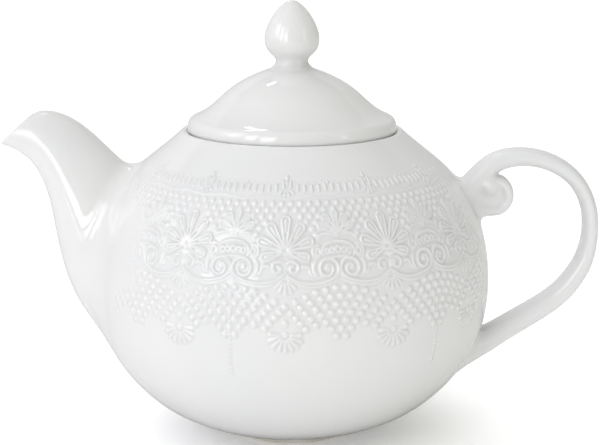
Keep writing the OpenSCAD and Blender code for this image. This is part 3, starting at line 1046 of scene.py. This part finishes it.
def punch(co, first, cols, block, holes, wall_radius, sign):
    """A sheet with the strainer's holes in place of a block of a lathe grid near -X.
    Returns all vertices, the sheet's triangles and the rings round the holes."""
    spacing = 2.0
    border = block_border(first, cols, block)
    outline = co[border][:, 1:]
    fresh = [point for hole in holes for point in circle(hole, HOLE_RADIUS, HOLE_SIDES)]
    low, high = outline.min(0) + spacing, outline.max(0) - spacing * 0.6
    for y in np.arange(low[0], high[0], spacing):
        for z in np.arange(low[1], high[1], spacing):
            nearest = min(math.hypot(y - hole[0], z - hole[1]) for hole in holes)
            if nearest > HOLE_RADIUS + spacing * 0.45:
                fresh.append((y, z))
    fresh = np.array(fresh)
    triangles = perforated(
        np.vstack([outline, fresh]), len(border), len(border), holes,
        HOLE_RADIUS, HOLE_SIDES, epsilon=1e-6,
    )
    ids = np.concatenate([border, len(co) + np.arange(len(fresh))])
    rings = len(co) + np.arange(len(holes) * HOLE_SIDES).reshape(len(holes), HOLE_SIDES)
    y, z = fresh.T
    x = -np.sqrt(wall_radius(z) ** 2 - y**2)
    co = np.vstack([co, np.stack([x, y, z], 1)])
    return co, facing(co, ids[triangles], 0, sign), rings


def build_pot(footprint, handle_at):
    fine = 0.33
    top = WALL_UP[-1]
    row_up = np.unique(np.concatenate([
        np.arange(WALL_UP[0], -26, 1.3),
        np.arange(-26, 58, fine),
        np.arange(58.1, top, 0.7),
        [top],
    ]))
    radius, row_z, radial, upright = (
        np.interp(row_up, WALL_UP, column) for column in (*WALL.T, *WALL_NORMAL.T)
    )
    theta, up = np.meshgrid(ring_angles(COLS), row_up)
    surface = spin(radius[:, None], row_z[:, None], theta)
    mask = lace_mask(surface, up, footprint, handle_at)
    height = relief_height(theta, up) * mask
    # hand-finished, not dead true
    sway = 0.05 * ripple(theta, up, 45.0, seed=21, count=12) * smooth_step((top - up) / 20)
    grow = height + sway * mask
    outside = surface + grow[..., None] * spin(radial[:, None], upright[:, None], theta)

    rim = np.stack([RIM[:, 0], fit_height(RIM[:, 1])], 1)
    rim = chaikin(rim, 2)[1:]
    split = np.argmin(np.hypot(rim[:, 0] - 39.4, rim[:, 1] - 121.0)) + 1  # on the ledge
    upper, throat = rim[:split], rim[split:]
    inside = WALL - WALL_THICKNESS * WALL_NORMAL
    inside = inside[(inside[:, 1] < 113.6) & (inside[:, 1] > 9.6)]
    inside = resample(inside, 2.2)[0][::-1]
    edge = inside[-1, 0]
    turn = [inside[-1], [edge - 4.4, 8.0], [edge - 10, 7.1], [edge - 16, FLOOR_Z]]
    turn = chaikin(np.array(turn), 3)[1:]
    flat = np.stack([np.linspace(turn[-1, 0], 1.2, 9)[1:], np.full(8, FLOOR_Z)], 1)
    lining = np.vstack([throat, inside, turn, flat])

    outer_rows = len(row_up) + len(upper)
    lining_first = outer_rows * COLS
    floor_centre = lining_first + len(lining) * INNER_COLS
    under_first = floor_centre + 1
    under_centre = under_first + len(UNDERSIDE) * INNER_COLS
    co = np.vstack([
        outside.reshape(-1, 3),
        lathe(upper, COLS),
        lathe(lining, INNER_COLS),
        [[0, 0, FLOOR_Z]],
        lathe(UNDERSIDE, INNER_COLS),
        [[0, 0, UNDERSIDE[-1, 1]]],
    ])
    outer_grid = grid_quads(outer_rows, COLS)
    lining_grid = grid_quads(len(lining), INNER_COLS, lining_first)
    rest = [
        stitch((outer_rows - 1) * COLS, lining_first),
        grid_quads(len(UNDERSIDE), INNER_COLS, under_first, flip=True),
        stitch(0, under_first, flip=True),
        fan(floor_centre - INNER_COLS, INNER_COLS, floor_centre),
        fan(under_centre - INNER_COLS, INNER_COLS, under_centre, flip=True),
    ]

    # the strainer, through both skins at -X
    holes = strainer_holes()
    half = int(round(math.asin(15.5 / 78) / (2 * math.pi / COLS)))
    middle = COLS * 3 // 4
    rows = [int(np.searchsorted(row_z, z)) for z in (52.0, 88.0)]
    block = (*rows, middle - half, middle + half)
    outer_grid = outside_block(outer_grid, 0, COLS, block)
    co, outer_sheet, outer_rings = punch(co, 0, COLS, block, holes, radius_at, sign=-1)

    def lining_radius(z):
        return np.interp(z, inside[::-1, 1], inside[::-1, 0])

    half = int(math.ceil(math.asin(15.6 / 73) / (2 * math.pi / INNER_COLS)))
    middle = INNER_COLS * 3 // 4
    first_row = len(throat)
    rows = [first_row + k for k, z in enumerate(inside[:, 1]) if 50.0 < z < 90.0]
    block = (rows[0], rows[-1], middle - half, middle + half)
    lining_grid = outside_block(lining_grid, lining_first, INNER_COLS, block)
    co, inner_sheet, inner_rings = punch(
        co, lining_first, INNER_COLS, block, holes, lining_radius, sign=1
    )
    hole_walls = np.stack([
        outer_rings, inner_rings, np.roll(inner_rings, -1, 1), np.roll(outer_rings, -1, 1),
    ], -1).reshape(-1, 4)

    hollow = np.zeros(len(co))
    # depth below the surroundings; the lace material darkens the colour by it, as pooled glaze and
    # painted shade
    hollow[: height.size] = hollows(height).ravel()
    faces = [outer_grid, lining_grid, *rest, outer_sheet, inner_sheet, hole_walls]
    co, faces, hollow = used_only(co, faces, hollow)
    return new_object("pot_shell", co, faces, hollow=hollow)


# ------------------------------------------------------------------ the spout's shell
def build_spout(wall_edge, spout_edge):
    """Fillet on the wall, outside, lip, inside and a seat against the wall, ring by ring."""
    wall_ring, wall_dir, wall_normal, wall_width = wall_edge
    station, start, start_dir, start_width = spout_edge
    fillet_rows, wall_rows = 24, 110
    t = np.linspace(0, 1, fillet_rows + 1)[:, None, None]
    start_pull, wall_pull = start_width[:, None] / 3, wall_width[:, None] / 3
    bezier = [
        wall_ring,
        wall_ring - wall_dir * wall_pull,
        wall_ring - wall_dir * wall_pull * 2.0 - wall_normal * (0.0155 * wall_pull**2),
        start + start_dir * start_pull * 2.05,
        start + start_dir * start_pull,
        start,
    ]
    fillet = sum(
        math.comb(5, k) * (1 - t) ** (5 - k) * t**k * point for k, point in enumerate(bezier)
    )
    for k in range(1, fillet_rows // 2):  # kept just clear of the wall
        lift = np.maximum(0.012 * smooth_step(k / 6) - body_distance(fillet[k]), 0)
        fillet[k] += lift[:, None] * body_normal(fillet[k])
    fillet[0] = on_body(fillet[0]) + body_normal(fillet[0]) * 0.004

    rings = list(fillet)
    for share in np.linspace(0, 1, wall_rows + 1)[1:]:
        rings.append(spout_point(station + (LAST_STATION - station) * share, SPOUT_ANGLES))

    end_dir = unit(spout_ring(LAST_STATION) - spout_ring(LAST_STATION - 0.1))
    outer, inner = spout_ring(LAST_STATION), spout_ring(LAST_STATION, LIP_WALL)
    centre, reach = (outer + inner) / 2, (outer - inner) / 2
    for angle in np.linspace(0, math.pi, 13)[1:]:
        rings.append(centre + reach * math.cos(angle) + end_dir * 1.0 * math.sin(angle))

    for at in np.linspace(LAST_STATION, 0.15, 80)[1:]:
        thicker = (SPOUT_WALL - LIP_WALL) * smooth_step((LAST_STATION - at) / 2)
        rings.append(spout_ring(at, LIP_WALL + thicker))
    last = rings[-1]
    seat_radius = radius_at(last[:, 2]) - 0.6
    seat_x = -np.sqrt(np.maximum(seat_radius**2 - last[:, 1] ** 2, 1))
    for share in (0.5, 1.0):
        seat = last.copy()
        seat[:, 0] += (np.maximum(seat_x, last[:, 0]) - last[:, 0]) * share
        rings.append(seat)

    co = np.array(rings).reshape(-1, 3)
    quads = grid_quads(len(rings), SPOUT_COLS)
    weighted = np.cross(co[quads[:, 2]] - co[quads[:, 0]], co[quads[:, 3]] - co[quads[:, 1]])
    normals = np.zeros_like(co)
    for corner in range(4):
        np.add.at(normals, quads[:, corner], weighted)
    normals = unit(normals)
    # the first rings lie on the wall and share its normals
    shared = 6
    count = shared * SPOUT_COLS
    own = smooth_step(np.repeat(np.arange(shared), SPOUT_COLS) / (shared - 1))[:, None]
    normals[:count] = unit(normals[:count] * own + body_normal(co[:count]) * (1 - own))
    return new_object("spout_shell", co, [quads], normals=normals)


def build_handle_part(name, co, quads, normals):
    co, faces, normals = used_only(co, [quads], normals)
    return new_object(name, co, faces, normals=normals)


# ------------------------------------------------------------------ foot ring
# radius, height from the inner side, under the ring, to the outer side
FOOT = [
    [20.85, 2.9], [20.8, 2.4], [20.8, 1.3], [21.0, 0.6], [21.4, 0.12], [22.1, 0.0], [23.9, 0.0],
    [24.5, 0.04], [25.0, 0.28], [26.2, 0.98], [27.1, 1.9], [27.55, 2.6], [27.75, 2.95],
]


def build_foot():
    cols = 240
    profile = chaikin(FOOT, 2)
    co = lathe(profile, cols)
    theta = np.tile(ring_angles(cols), len(profile))
    grain = 0.035 * ripple(theta, np.repeat(profile[:, 0], cols), 3.0, seed=31)
    grain = grain * smooth_step((1.0 - co[:, 2]) / 0.8) * smooth_step(co[:, 2] / 0.25)
    co[:, 2] += np.maximum(grain, 0)
    return new_object("pot_foot", co, [grid_quads(len(profile), cols)])


# ------------------------------------------------------------------ lid
VENT = np.array([0.0, 22.0])  # x, y of the steam hole
VENT_RADIUS, VENT_SIDES = 1.8, 40
# heights are above the lid's rest
CROWN_EDGE = np.array([  # radius beyond the lid's, height
    [-1.25, 0.0], [-0.5, 0.2], [-0.05, 0.75], [0.08, 1.6], [0.05, 2.7], [-0.16, 3.8],
    [-0.6, 4.8], [-1.45, 5.7], [-2.7, 6.3],
])
CROWN_DOME = np.array([  # radius, height
    [36.6, 7.25], [33.5, 9.15], [30.0, 12.05], [27.3, 14.55], [24.6, 16.85], [21.3, 19.15],
    [17.8, 21.15], [14.2, 22.85], [11.4, 23.98], [9.4, 24.7], [8.0, 25.2], [6.0, 25.75],
    [3.0, 26.1],
])
LID_UNDERSIDE = np.array([  # radius, height
    [32.3, 0.0], [31.95, 0.5], [31.9, 1.35], [31.3, 4.55], [28.8, 8.15], [25.2, 11.85],
    [21.4, 14.85], [17.0, 17.55], [12.0, 19.65], [6.0, 20.95], [0.8, 21.35],
])


def open_vent(co, quads, cols, rows, sign):
    """Cuts the steam hole out of one skin, given by its rows of the lathe grid."""
    radii = np.hypot(*co[rows * cols, :2].T)
    near = rows[(radii > VENT[1] - 5) & (radii < VENT[1] + 5)]
    half = int(math.ceil(math.asin(4.8 / VENT[1]) / (2 * math.pi / cols)))
    block = row_a, row_b, col_a, col_b = near.min(), near.max(), cols // 2 - half, cols // 2 + half
    border = block_border(0, cols, block)
    within = np.array([
        row * cols + col for row in range(row_a + 1, row_b) for col in range(col_a + 1, col_b)
    ])
    within = within[np.hypot(*(co[within, :2] - VENT).T) > VENT_RADIUS * 1.12]
    old = np.concatenate([border, within])
    ring = np.array(circle(VENT, VENT_RADIUS, VENT_SIDES))
    triangles = perforated(
        np.vstack([co[old, :2], ring]), len(border), len(old), [VENT],
        VENT_RADIUS, VENT_SIDES, epsilon=1e-7,
    )
    order = np.argsort(radii)
    ring_z = np.interp(np.hypot(*ring.T), radii[order], co[rows * cols, 2][order])
    ring_ids = len(co) + np.arange(VENT_SIDES)
    co = np.vstack([co, np.hstack([ring, ring_z[:, None]])])
    triangles = facing(co, np.concatenate([old, ring_ids])[triangles], 2, sign)
    return co, outside_block(quads, 0, cols, block), triangles, ring_ids


def build_lid():
    """Returns the object and the line of its top, which the knob stands on."""
    cols = 360
    crown = np.vstack([CROWN_EDGE + [LID_RADIUS, 0], CROWN_DOME]) + [0, LID_REST]
    top, _ = resample(catmull(crown, 16), 0.35)
    top = gauss_line(top, 1.6)
    under, _ = resample(catmull(LID_UNDERSIDE + [0, LID_REST], 10), 0.8)
    seat = np.array([[radius, LID_REST] for radius in (33.5, 35.6, 37.2)])
    profile = np.vstack([under[::-1], seat, top])
    co = lathe(profile, cols)
    quads = grid_quads(len(profile), cols)
    under_rows = np.arange(len(under))
    top_rows = np.arange(len(under) + 4, len(profile))
    co, quads, under_sheet, under_ring = open_vent(co, quads, cols, under_rows, sign=-1)
    co, quads, top_sheet, top_ring = open_vent(co, quads, cols, top_rows, sign=1)
    vent_wall = np.stack([
        top_ring, np.roll(top_ring, -1), np.roll(under_ring, -1), under_ring,
    ], 1)
    centre = len(co)
    co = np.vstack([co, [[0, 0, under[-1, 1]], [0, 0, top[-1, 1]]]])
    caps = [
        fan(0, cols, centre, flip=True),
        fan((len(profile) - 1) * cols, cols, centre + 1),
    ]
    co, faces = used_only(co, [quads, under_sheet, top_sheet, vent_wall, *caps])
    return new_object("lid_shell", co, faces), top


def build_skirt():
    """The collar that hangs into the mouth, from its inner side round to the outer."""
    cols = 300
    radius, bottom, top = COLLAR_RADIUS, COLLAR_BOTTOM, COLLAR_TOP
    inner = radius - 2.9
    profile = chaikin([
        [inner, top], [inner, top - 2], [inner, bottom + 2.6], [inner, bottom + 1.3],
        [radius - 2.65, bottom + 0.45], [radius - 2.0, bottom], [radius - 1.2, bottom],
        [radius - 0.45, bottom + 0.3], [radius, bottom + 1.2], [radius, bottom + 2.4],
        [radius, top - 2.2], [radius + 0.05, top - 1.0], [radius + 0.55, top - 0.42],
        [radius + 1.3, top - 0.33],
    ], 3)
    return new_object("lid_skirt", lathe(profile, cols), [grid_quads(len(profile), cols)])


KNOB_DRAWN_HEIGHT = 26.3
# radius, height above the knob's bottom
ACORN = np.array([
    [6.95, 1.0], [6.55, 1.75], [6.4, 2.6], [6.75, 3.75], [8.15, 5.15], [9.7, 6.95],
    [10.6, 9.1], [10.8, 11.4], [10.42, 13.8], [9.62, 16.2], [8.45, 18.6], [7.0, 21.0],
    [5.2, 23.2], [3.1, 25.1], [1.4, 26.05], [0.25, 26.27],
])


def build_knob(lid_top):
    cols = 240
    scale = (KNOB_TOP - KNOB_BOTTOM) / KNOB_DRAWN_HEIGHT
    acorn = np.stack([ACORN[:, 0], KNOB_BOTTOM + ACORN[:, 1] * scale], 1)
    line, _ = resample(catmull(acorn, 14), 0.3)
    line = gauss_line(line, 1.6)
    # the slip that joins it: a small fillet that dies out on the dome
    share = np.linspace(1, 0, 12)[:-1]
    slip_radius = line[0, 0] + (9.3 - line[0, 0]) * share
    dome_line = lid_top[np.argsort(lid_top[:, 0])]
    dome_z = np.interp(slip_radius, dome_line[:, 0], dome_line[:, 1])
    slip_z = dome_z + 0.012 + (line[0, 1] - dome_z) * (1 - share) ** 2.6
    line = np.vstack([np.stack([slip_radius, slip_z], 1), line])
    line[:, 0] = np.maximum(line[:, 0], 0.12)
    co = np.vstack([lathe(line, cols), [[0, 0, line[-1, 1] + 0.02]]])
    cap = fan((len(line) - 1) * cols, cols, len(co) - 1)
    return new_object("lid_knob", co, [grid_quads(len(line), cols), cap])


wall_edge, spout_edge = spout_joint()
handle_co, handle_normals, strap_quads, scroll_quads, handle_at = handle_surface()
pot = build_pot(wall_edge[0], handle_at)
spout = build_spout(wall_edge, spout_edge)
loop = build_handle_part("handle_loop", handle_co, strap_quads, handle_normals)
volute = build_handle_part("handle_volute", handle_co, scroll_quads, handle_normals)
foot = build_foot()
lid, lid_top = build_lid()
skirt = build_skirt()
knob = build_knob(lid_top)


# ------------------------------------------------------------------ materials
def set_inputs(node, values):
    for key, value in values.items():
        node.inputs[key].default_value = value


def add_node(tree, kind, **inputs):
    """A node with inputs set by name; an underscore stands for a space."""
    node = tree.nodes.new(kind)
    set_inputs(node, {key.replace("_", " "): value for key, value in inputs.items()})
    return node


def colour_ramp(tree, source, stops):
    """stops: (position, colour), both ends first."""
    node = tree.nodes.new("ShaderNodeValToRGB")
    elements = node.color_ramp.elements
    for i, (position, colour) in enumerate(stops):
        element = elements[i] if i < 2 else elements.new(position)
        element.position = position
        element.color = (*colour, 1)
    tree.links.new(source, node.inputs["Fac"])
    return node.outputs["Color"]


def map_range(tree, source, **inputs):
    node = add_node(tree, "ShaderNodeMapRange", **inputs)
    tree.links.new(source, node.inputs["Value"])
    return node.outputs["Result"]


MIX_FACTOR, MIX_A, MIX_B, MIX_COLOUR = 0, 6, 7, 2  # sockets of a colour mix


def multiply_node(tree, source):
    node = tree.nodes.new("ShaderNodeMix")
    node.data_type = "RGBA"
    node.blend_type = "MULTIPLY"
    node.inputs[MIX_FACTOR].default_value = 1.0
    tree.links.new(source, node.inputs[MIX_A])
    return node


def multiply(tree, first, second):
    node = multiply_node(tree, first)
    tree.links.new(second, node.inputs[MIX_B])
    return node.outputs[MIX_COLOUR]


def new_material(name):
    """A node material, with its tree and its Principled shader."""
    material = bpy.data.materials.new(name)
    material.use_nodes = True
    tree = material.node_tree
    return material, tree, tree.nodes["Principled BSDF"]


def place_textures(tree, textures):
    coordinates = tree.nodes.new("ShaderNodeTexCoord")
    for texture in textures:
        tree.links.new(coordinates.outputs["Object"], texture.inputs["Vector"])


def glaze_pool_and_painted_shade(tree, colour):
    """Darkens the colour in the hollows round the raised work: partly glaze that gathers there, partly
    painted shade.
    """
    attribute = tree.nodes.new("ShaderNodeAttribute")
    attribute.attribute_name = "hollow"
    tone = multiply_node(tree, colour)
    pooled_glaze_and_shade = tree.nodes.new("ShaderNodeMix")
    pooled_glaze_and_shade.data_type = "RGBA"
    pooled_glaze_and_shade.inputs[MIX_A].default_value = (1, 1, 1, 1)
    # pooled glaze and painted shade: the colour in the deepest hollows is darkened to this grey
    pooled_glaze_and_shade.inputs[MIX_B].default_value = (0.935, 0.938, 0.935, 1)
    tree.links.new(attribute.outputs["Fac"], pooled_glaze_and_shade.inputs[MIX_FACTOR])
    tree.links.new(pooled_glaze_and_shade.outputs[MIX_COLOUR], tone.inputs[MIX_B])
    return tone.outputs[MIX_COLOUR]


def glaze(name, tint, lace=False):
    """Clear glossy glaze over white porcelain: tone drift, sparse specks and orange peel; with lace,
    also pooled glaze and painted shade in the hollows.
    """
    material, tree, shader = new_material(name)
    noise = "ShaderNodeTexNoise"
    broad = add_node(tree, noise, Scale=14.0, Detail=3.0, Roughness=0.5)
    fine = add_node(tree, noise, Scale=220.0, Detail=4.0, Roughness=0.6)
    specks = add_node(tree, "ShaderNodeTexVoronoi", Scale=150.0)
    peel = add_node(tree, noise, Scale=300.0, Detail=2.0, Roughness=0.45)
    wave = add_node(tree, noise, Scale=42.0, Detail=1.0, Roughness=0.4)
    place_textures(tree, (broad, fine, specks, peel, wave))

    tint = np.array(tint)
    colour = colour_ramp(tree, broad.outputs["Fac"], [
        (0.3, tint * [0.972, 0.98, 0.99]),
        (0.7, np.minimum(tint * [1.012, 1.008, 0.998], 0.97)),
    ])
    dots = map_range(tree, specks.outputs["Distance"],
                     From_Min=0.02, From_Max=0.055, To_Min=0.93, To_Max=1.0)
    colour = multiply(tree, colour, dots)
    if lace:
        # painted shade and pooled glaze darken the lace's hollows
        colour = glaze_pool_and_painted_shade(tree, colour)
    tree.links.new(colour, shader.inputs["Base Color"])
    rough = map_range(tree, fine.outputs["Fac"], To_Min=0.03, To_Max=0.06)
    tree.links.new(rough, shader.inputs["Roughness"])

    peel_bump = add_node(tree, "ShaderNodeBump", Strength=0.10, Distance=0.00012)
    wave_bump = add_node(tree, "ShaderNodeBump", Strength=0.35, Distance=0.0006)
    tree.links.new(peel.outputs["Fac"], peel_bump.inputs["Height"])
    tree.links.new(wave.outputs["Fac"], wave_bump.inputs["Height"])
    tree.links.new(wave_bump.outputs["Normal"], peel_bump.inputs["Normal"])
    tree.links.new(peel_bump.outputs["Normal"], shader.inputs["Normal"])
    tree.links.new(wave_bump.outputs["Normal"], shader.inputs["Coat Normal"])
    set_inputs(shader, {
        "IOR": 1.5,
        "Coat Weight": 0.5,
        "Coat Roughness": 0.02,
        "Coat IOR": 1.5,
        "Subsurface Weight": 0.12,
        "Subsurface Radius": (0.0016, 0.0014, 0.0011),
        "Subsurface Scale": 1.0,
    })
    return material


def biscuit(name):
    """Bare fired porcelain: matte, faintly sandy, unevenly soiled."""
    material, tree, shader = new_material(name)
    grain = add_node(tree, "ShaderNodeTexNoise", Scale=900.0, Detail=5.0, Roughness=0.7)
    soil = add_node(tree, "ShaderNodeTexNoise", Scale=70.0, Detail=6.0, Roughness=0.65)
    place_textures(tree, (grain, soil))
    stops = [(0.35, (0.66, 0.62, 0.54)), (0.62, (0.80, 0.78, 0.73))]
    colour = colour_ramp(tree, soil.outputs["Fac"], stops)
    tree.links.new(colour, shader.inputs["Base Color"])
    rough = map_range(tree, grain.outputs["Fac"], To_Min=0.62, To_Max=0.88)
    tree.links.new(rough, shader.inputs["Roughness"])
    bump = add_node(tree, "ShaderNodeBump", Strength=0.5, Distance=0.00008)
    tree.links.new(grain.outputs["Fac"], bump.inputs["Height"])
    tree.links.new(bump.outputs["Normal"], shader.inputs["Normal"])
    return material


WHITE = (0.672, 0.671, 0.670)
LID_WHITE = (0.672, 0.670, 0.666)
mat_pot = glaze("porcelain_pot", WHITE, lace=True)
mat_side = glaze("porcelain_spout_handle", WHITE)
mat_lid = glaze("porcelain_lid", LID_WHITE)
mat_bare = biscuit("biscuit")

# object, material, body it rides on, CAD node it replaces, slot
for ob, material, body, cad_node, slot in (
    (pot, mat_pot, "pot", "pot_body", "glazed_porcelain"),
    (spout, mat_side, "pot", "spout", "glazed_porcelain"),
    (loop, mat_side, "pot", "handle_strap", "glazed_porcelain"),
    (volute, mat_side, "pot", "handle_scroll", "glazed_porcelain"),
    (foot, mat_bare, "pot", "foot_ring", "biscuit_porcelain"),
    (lid, mat_lid, "lid", "lid_dome", "glazed_porcelain"),
    (skirt, mat_lid, "lid", "lid_collar", "glazed_porcelain"),
    (knob, mat_lid, "lid", "knob", "glazed_porcelain"),
):
    ob.data.materials.append(material)
    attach(ob, body)
    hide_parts(cad_node)

# ------------------------------------------------------------------ stage
scene = bpy.context.scene
scene.view_settings.view_transform = "Standard"
scene.view_settings.look = "None"
scene.view_settings.exposure = 0.0


def build_floor():
    half = 9.0
    corners = [(-half, -half, 0), (half, -half, 0), (half, half, 0), (-half, half, 0)]
    mesh = bpy.data.meshes.new("floor")
    mesh.from_pydata(corners, [], [(0, 1, 2, 3)])
    floor = bpy.data.objects.new("floor", mesh)
    scene.collection.objects.link(floor)

    material, tree, shader = new_material("floor")
    noise = add_node(tree, "ShaderNodeTexNoise", Scale=3.0, Detail=3.0)
    stops = [(0.0, (0.955, 0.955, 0.955)), (1.0, (0.97, 0.97, 0.97))]
    colour = colour_ramp(tree, noise.outputs["Fac"], stops)
    tree.links.new(colour, shader.inputs["Base Color"])
    set_inputs(shader, {
        "Emission Color": (1, 1, 1, 1),
        "Emission Strength": 0.145,
        "Roughness": 0.9,
        "Specular IOR Level": 0.1,
    })
    # the glaze mirrors a greyer floor than the one the camera sees
    grey = add_node(tree, "ShaderNodeBsdfDiffuse", Color=(0.60, 0.60, 0.59, 1))
    output = tree.nodes["Material Output"]
    split_by_gloss(tree, shader.outputs[0], grey.outputs[0], output)
    mesh.materials.append(material)
    return floor


def split_by_gloss(tree, plain, mirrored, output):
    """Shows glossy rays one shader and all other rays another."""
    path = tree.nodes.new("ShaderNodeLightPath")
    mix = tree.nodes.new("ShaderNodeMixShader")
    tree.links.new(path.outputs["Is Glossy Ray"], mix.inputs["Fac"])
    tree.links.new(plain, mix.inputs[1])
    tree.links.new(mirrored, mix.inputs[2])
    tree.links.new(mix.outputs[0], output.inputs["Surface"])


build_floor()

# Colours over each component of the direction, multiplied together: (component, colour).
# The light of the room: brightest across the middle, darkest on the handle's side.
ROOM = {
    "X": [(-1.0, (0.32, 0.32, 0.345)), (1.0, (0.05, 0.052, 0.025)),
          (0.0, (0.94, 0.94, 0.945)), (0.45, (0.30, 0.302, 0.275))],
    "Y": [(-1.0, (0.84,) * 3), (1.0, (1.0,) * 3), (0.0, (0.86,) * 3)],
    "Z": [(-1.0, (0.72,) * 3), (1.0, (1.0,) * 3), (0.0, (0.72,) * 3)],
}
# What the glaze mirrors: dimmest in front, and dimmer overhead than at the sides.
MIRRORED = {
    "X": [(-1.0, (0.9, 0.9, 0.92)), (1.0, (0.50, 0.50, 0.48)), (0.0, (0.88,) * 3)],
    "Y": [(-1.0, (0.42,) * 3), (1.0, (0.66,) * 3), (0.0, (0.70,) * 3)],
    "Z": [(-1.0, (1.1,) * 3), (1.0, (0.60,) * 3), (0.57, (1.1,) * 3), (0.62, (0.52,) * 3)],
}


def build_world():
    world = bpy.data.worlds.new("studio")
    scene.world = world
    world.use_nodes = True
    tree = world.node_tree
    coordinates = tree.nodes.new("ShaderNodeTexCoord")
    direction = tree.nodes.new("ShaderNodeSeparateXYZ")
    tree.links.new(coordinates.outputs["Generated"], direction.inputs[0])

    def sky(background, tables, strength):
        ramps = []
        for axis, stops in tables.items():
            value = map_range(tree, direction.outputs[axis], From_Min=-1.0, From_Max=1.0)
            stops = [(0.5 + 0.5 * component, colour) for component, colour in stops]
            ramps.append(colour_ramp(tree, value, stops))
        colour = multiply(tree, ramps[0], multiply(tree, ramps[1], ramps[2]))
        tree.links.new(colour, background.inputs["Color"])
        background.inputs["Strength"].default_value = strength
        return background.outputs[0]

    room = sky(tree.nodes["Background"], ROOM, strength=2.52)
    mirrored = sky(tree.nodes.new("ShaderNodeBackground"), MIRRORED, strength=1.0)
    split_by_gloss(tree, room, mirrored, tree.nodes["World Output"])


build_world()


def bearing(degrees, reach, z):
    """A place round the pot; 0 degrees is the front, positive towards the handle."""
    angle = math.radians(degrees)
    return (reach * math.sin(angle), -reach * math.cos(angle), z)


def aim(ob, place, target):
    ob.location = place
    ob.rotation_mode = "QUATERNION"
    ob.rotation_quaternion = (Vector(target) - Vector(place)).to_track_quat("-Z", "Y")


COOL, WARM, NEUTRAL = (0.985, 0.985, 1.0), (1.0, 0.995, 0.97), (1, 1, 1)
# name, place, height aimed at on the axis, width, height, watts, colour, lights matte surfaces.
# The glass panes only show in the glaze; they are taller than the panes that throw the light.
LIGHTS = (
    ("left_pane_1", bearing(-26.5, 1.0, 0.29), 0.12, 0.28, 0.52, 0.86, COOL, True),
    ("left_pane_2", bearing(-45.5, 1.0, 0.29), 0.12, 0.22, 0.52, 0.42, COOL, True),
    ("glass_1", bearing(-26.5, 1.02, 0.50), 0.12, 0.28, 0.76, 0.85, COOL, False),
    ("glass_2", bearing(-45.5, 1.02, 0.56), 0.12, 0.22, 0.72, 1.15, COOL, False),
    ("glass_3", bearing(-66.0, 1.02, 0.62), 0.12, 0.32, 0.70, 1.15, COOL, False),
    ("key_box", bearing(-76, 1.0, 0.62), 0.10, 0.36, 0.44, 0.68, COOL, True),
    ("right_box", bearing(58, 1.0, 0.42), 0.12, 0.13, 0.60, 0.45, WARM, True),
    ("top_box", (-0.241, 0.663, 1.111), 0.13, 0.20, 0.09, 0.24, NEUTRAL, True),
)
for name, place, aim_z, width, height, watts, colour, lights_matte in LIGHTS:
    light = bpy.data.lights.new(name, "AREA")
    light.shape = "RECTANGLE"
    light.size = width
    light.size_y = height
    light.energy = watts
    light.color = colour
    lamp = bpy.data.objects.new(name, light)
    aim(lamp, place, (0, 0, aim_z))
    scene.collection.objects.link(lamp)
    lamp.visible_diffuse = lights_matte


def build_camera():
    lens = bpy.data.cameras.new("camera")
    camera = bpy.data.objects.new("camera", lens)
    scene.collection.objects.link(camera)
    elevation = math.radians(12.008)
    distance = 0.720
    # aimed at a fixed share of the teapot's height, which was drawn as 172.8
    target = Vector((0, 0, 0.08413 * (KNOB_TOP / 172.8)))
    place = target + Vector((0, -math.cos(elevation), math.sin(elevation))) * distance
    aim(camera, place, target)
    lens.sensor_width = 36
    lens.lens = 108.036
    lens.shift_x = 0.01333333
    lens.clip_start = 0.01
    lens.clip_end = 50
    scene.camera = camera


build_camera()

bpy.context.view_layer.update()
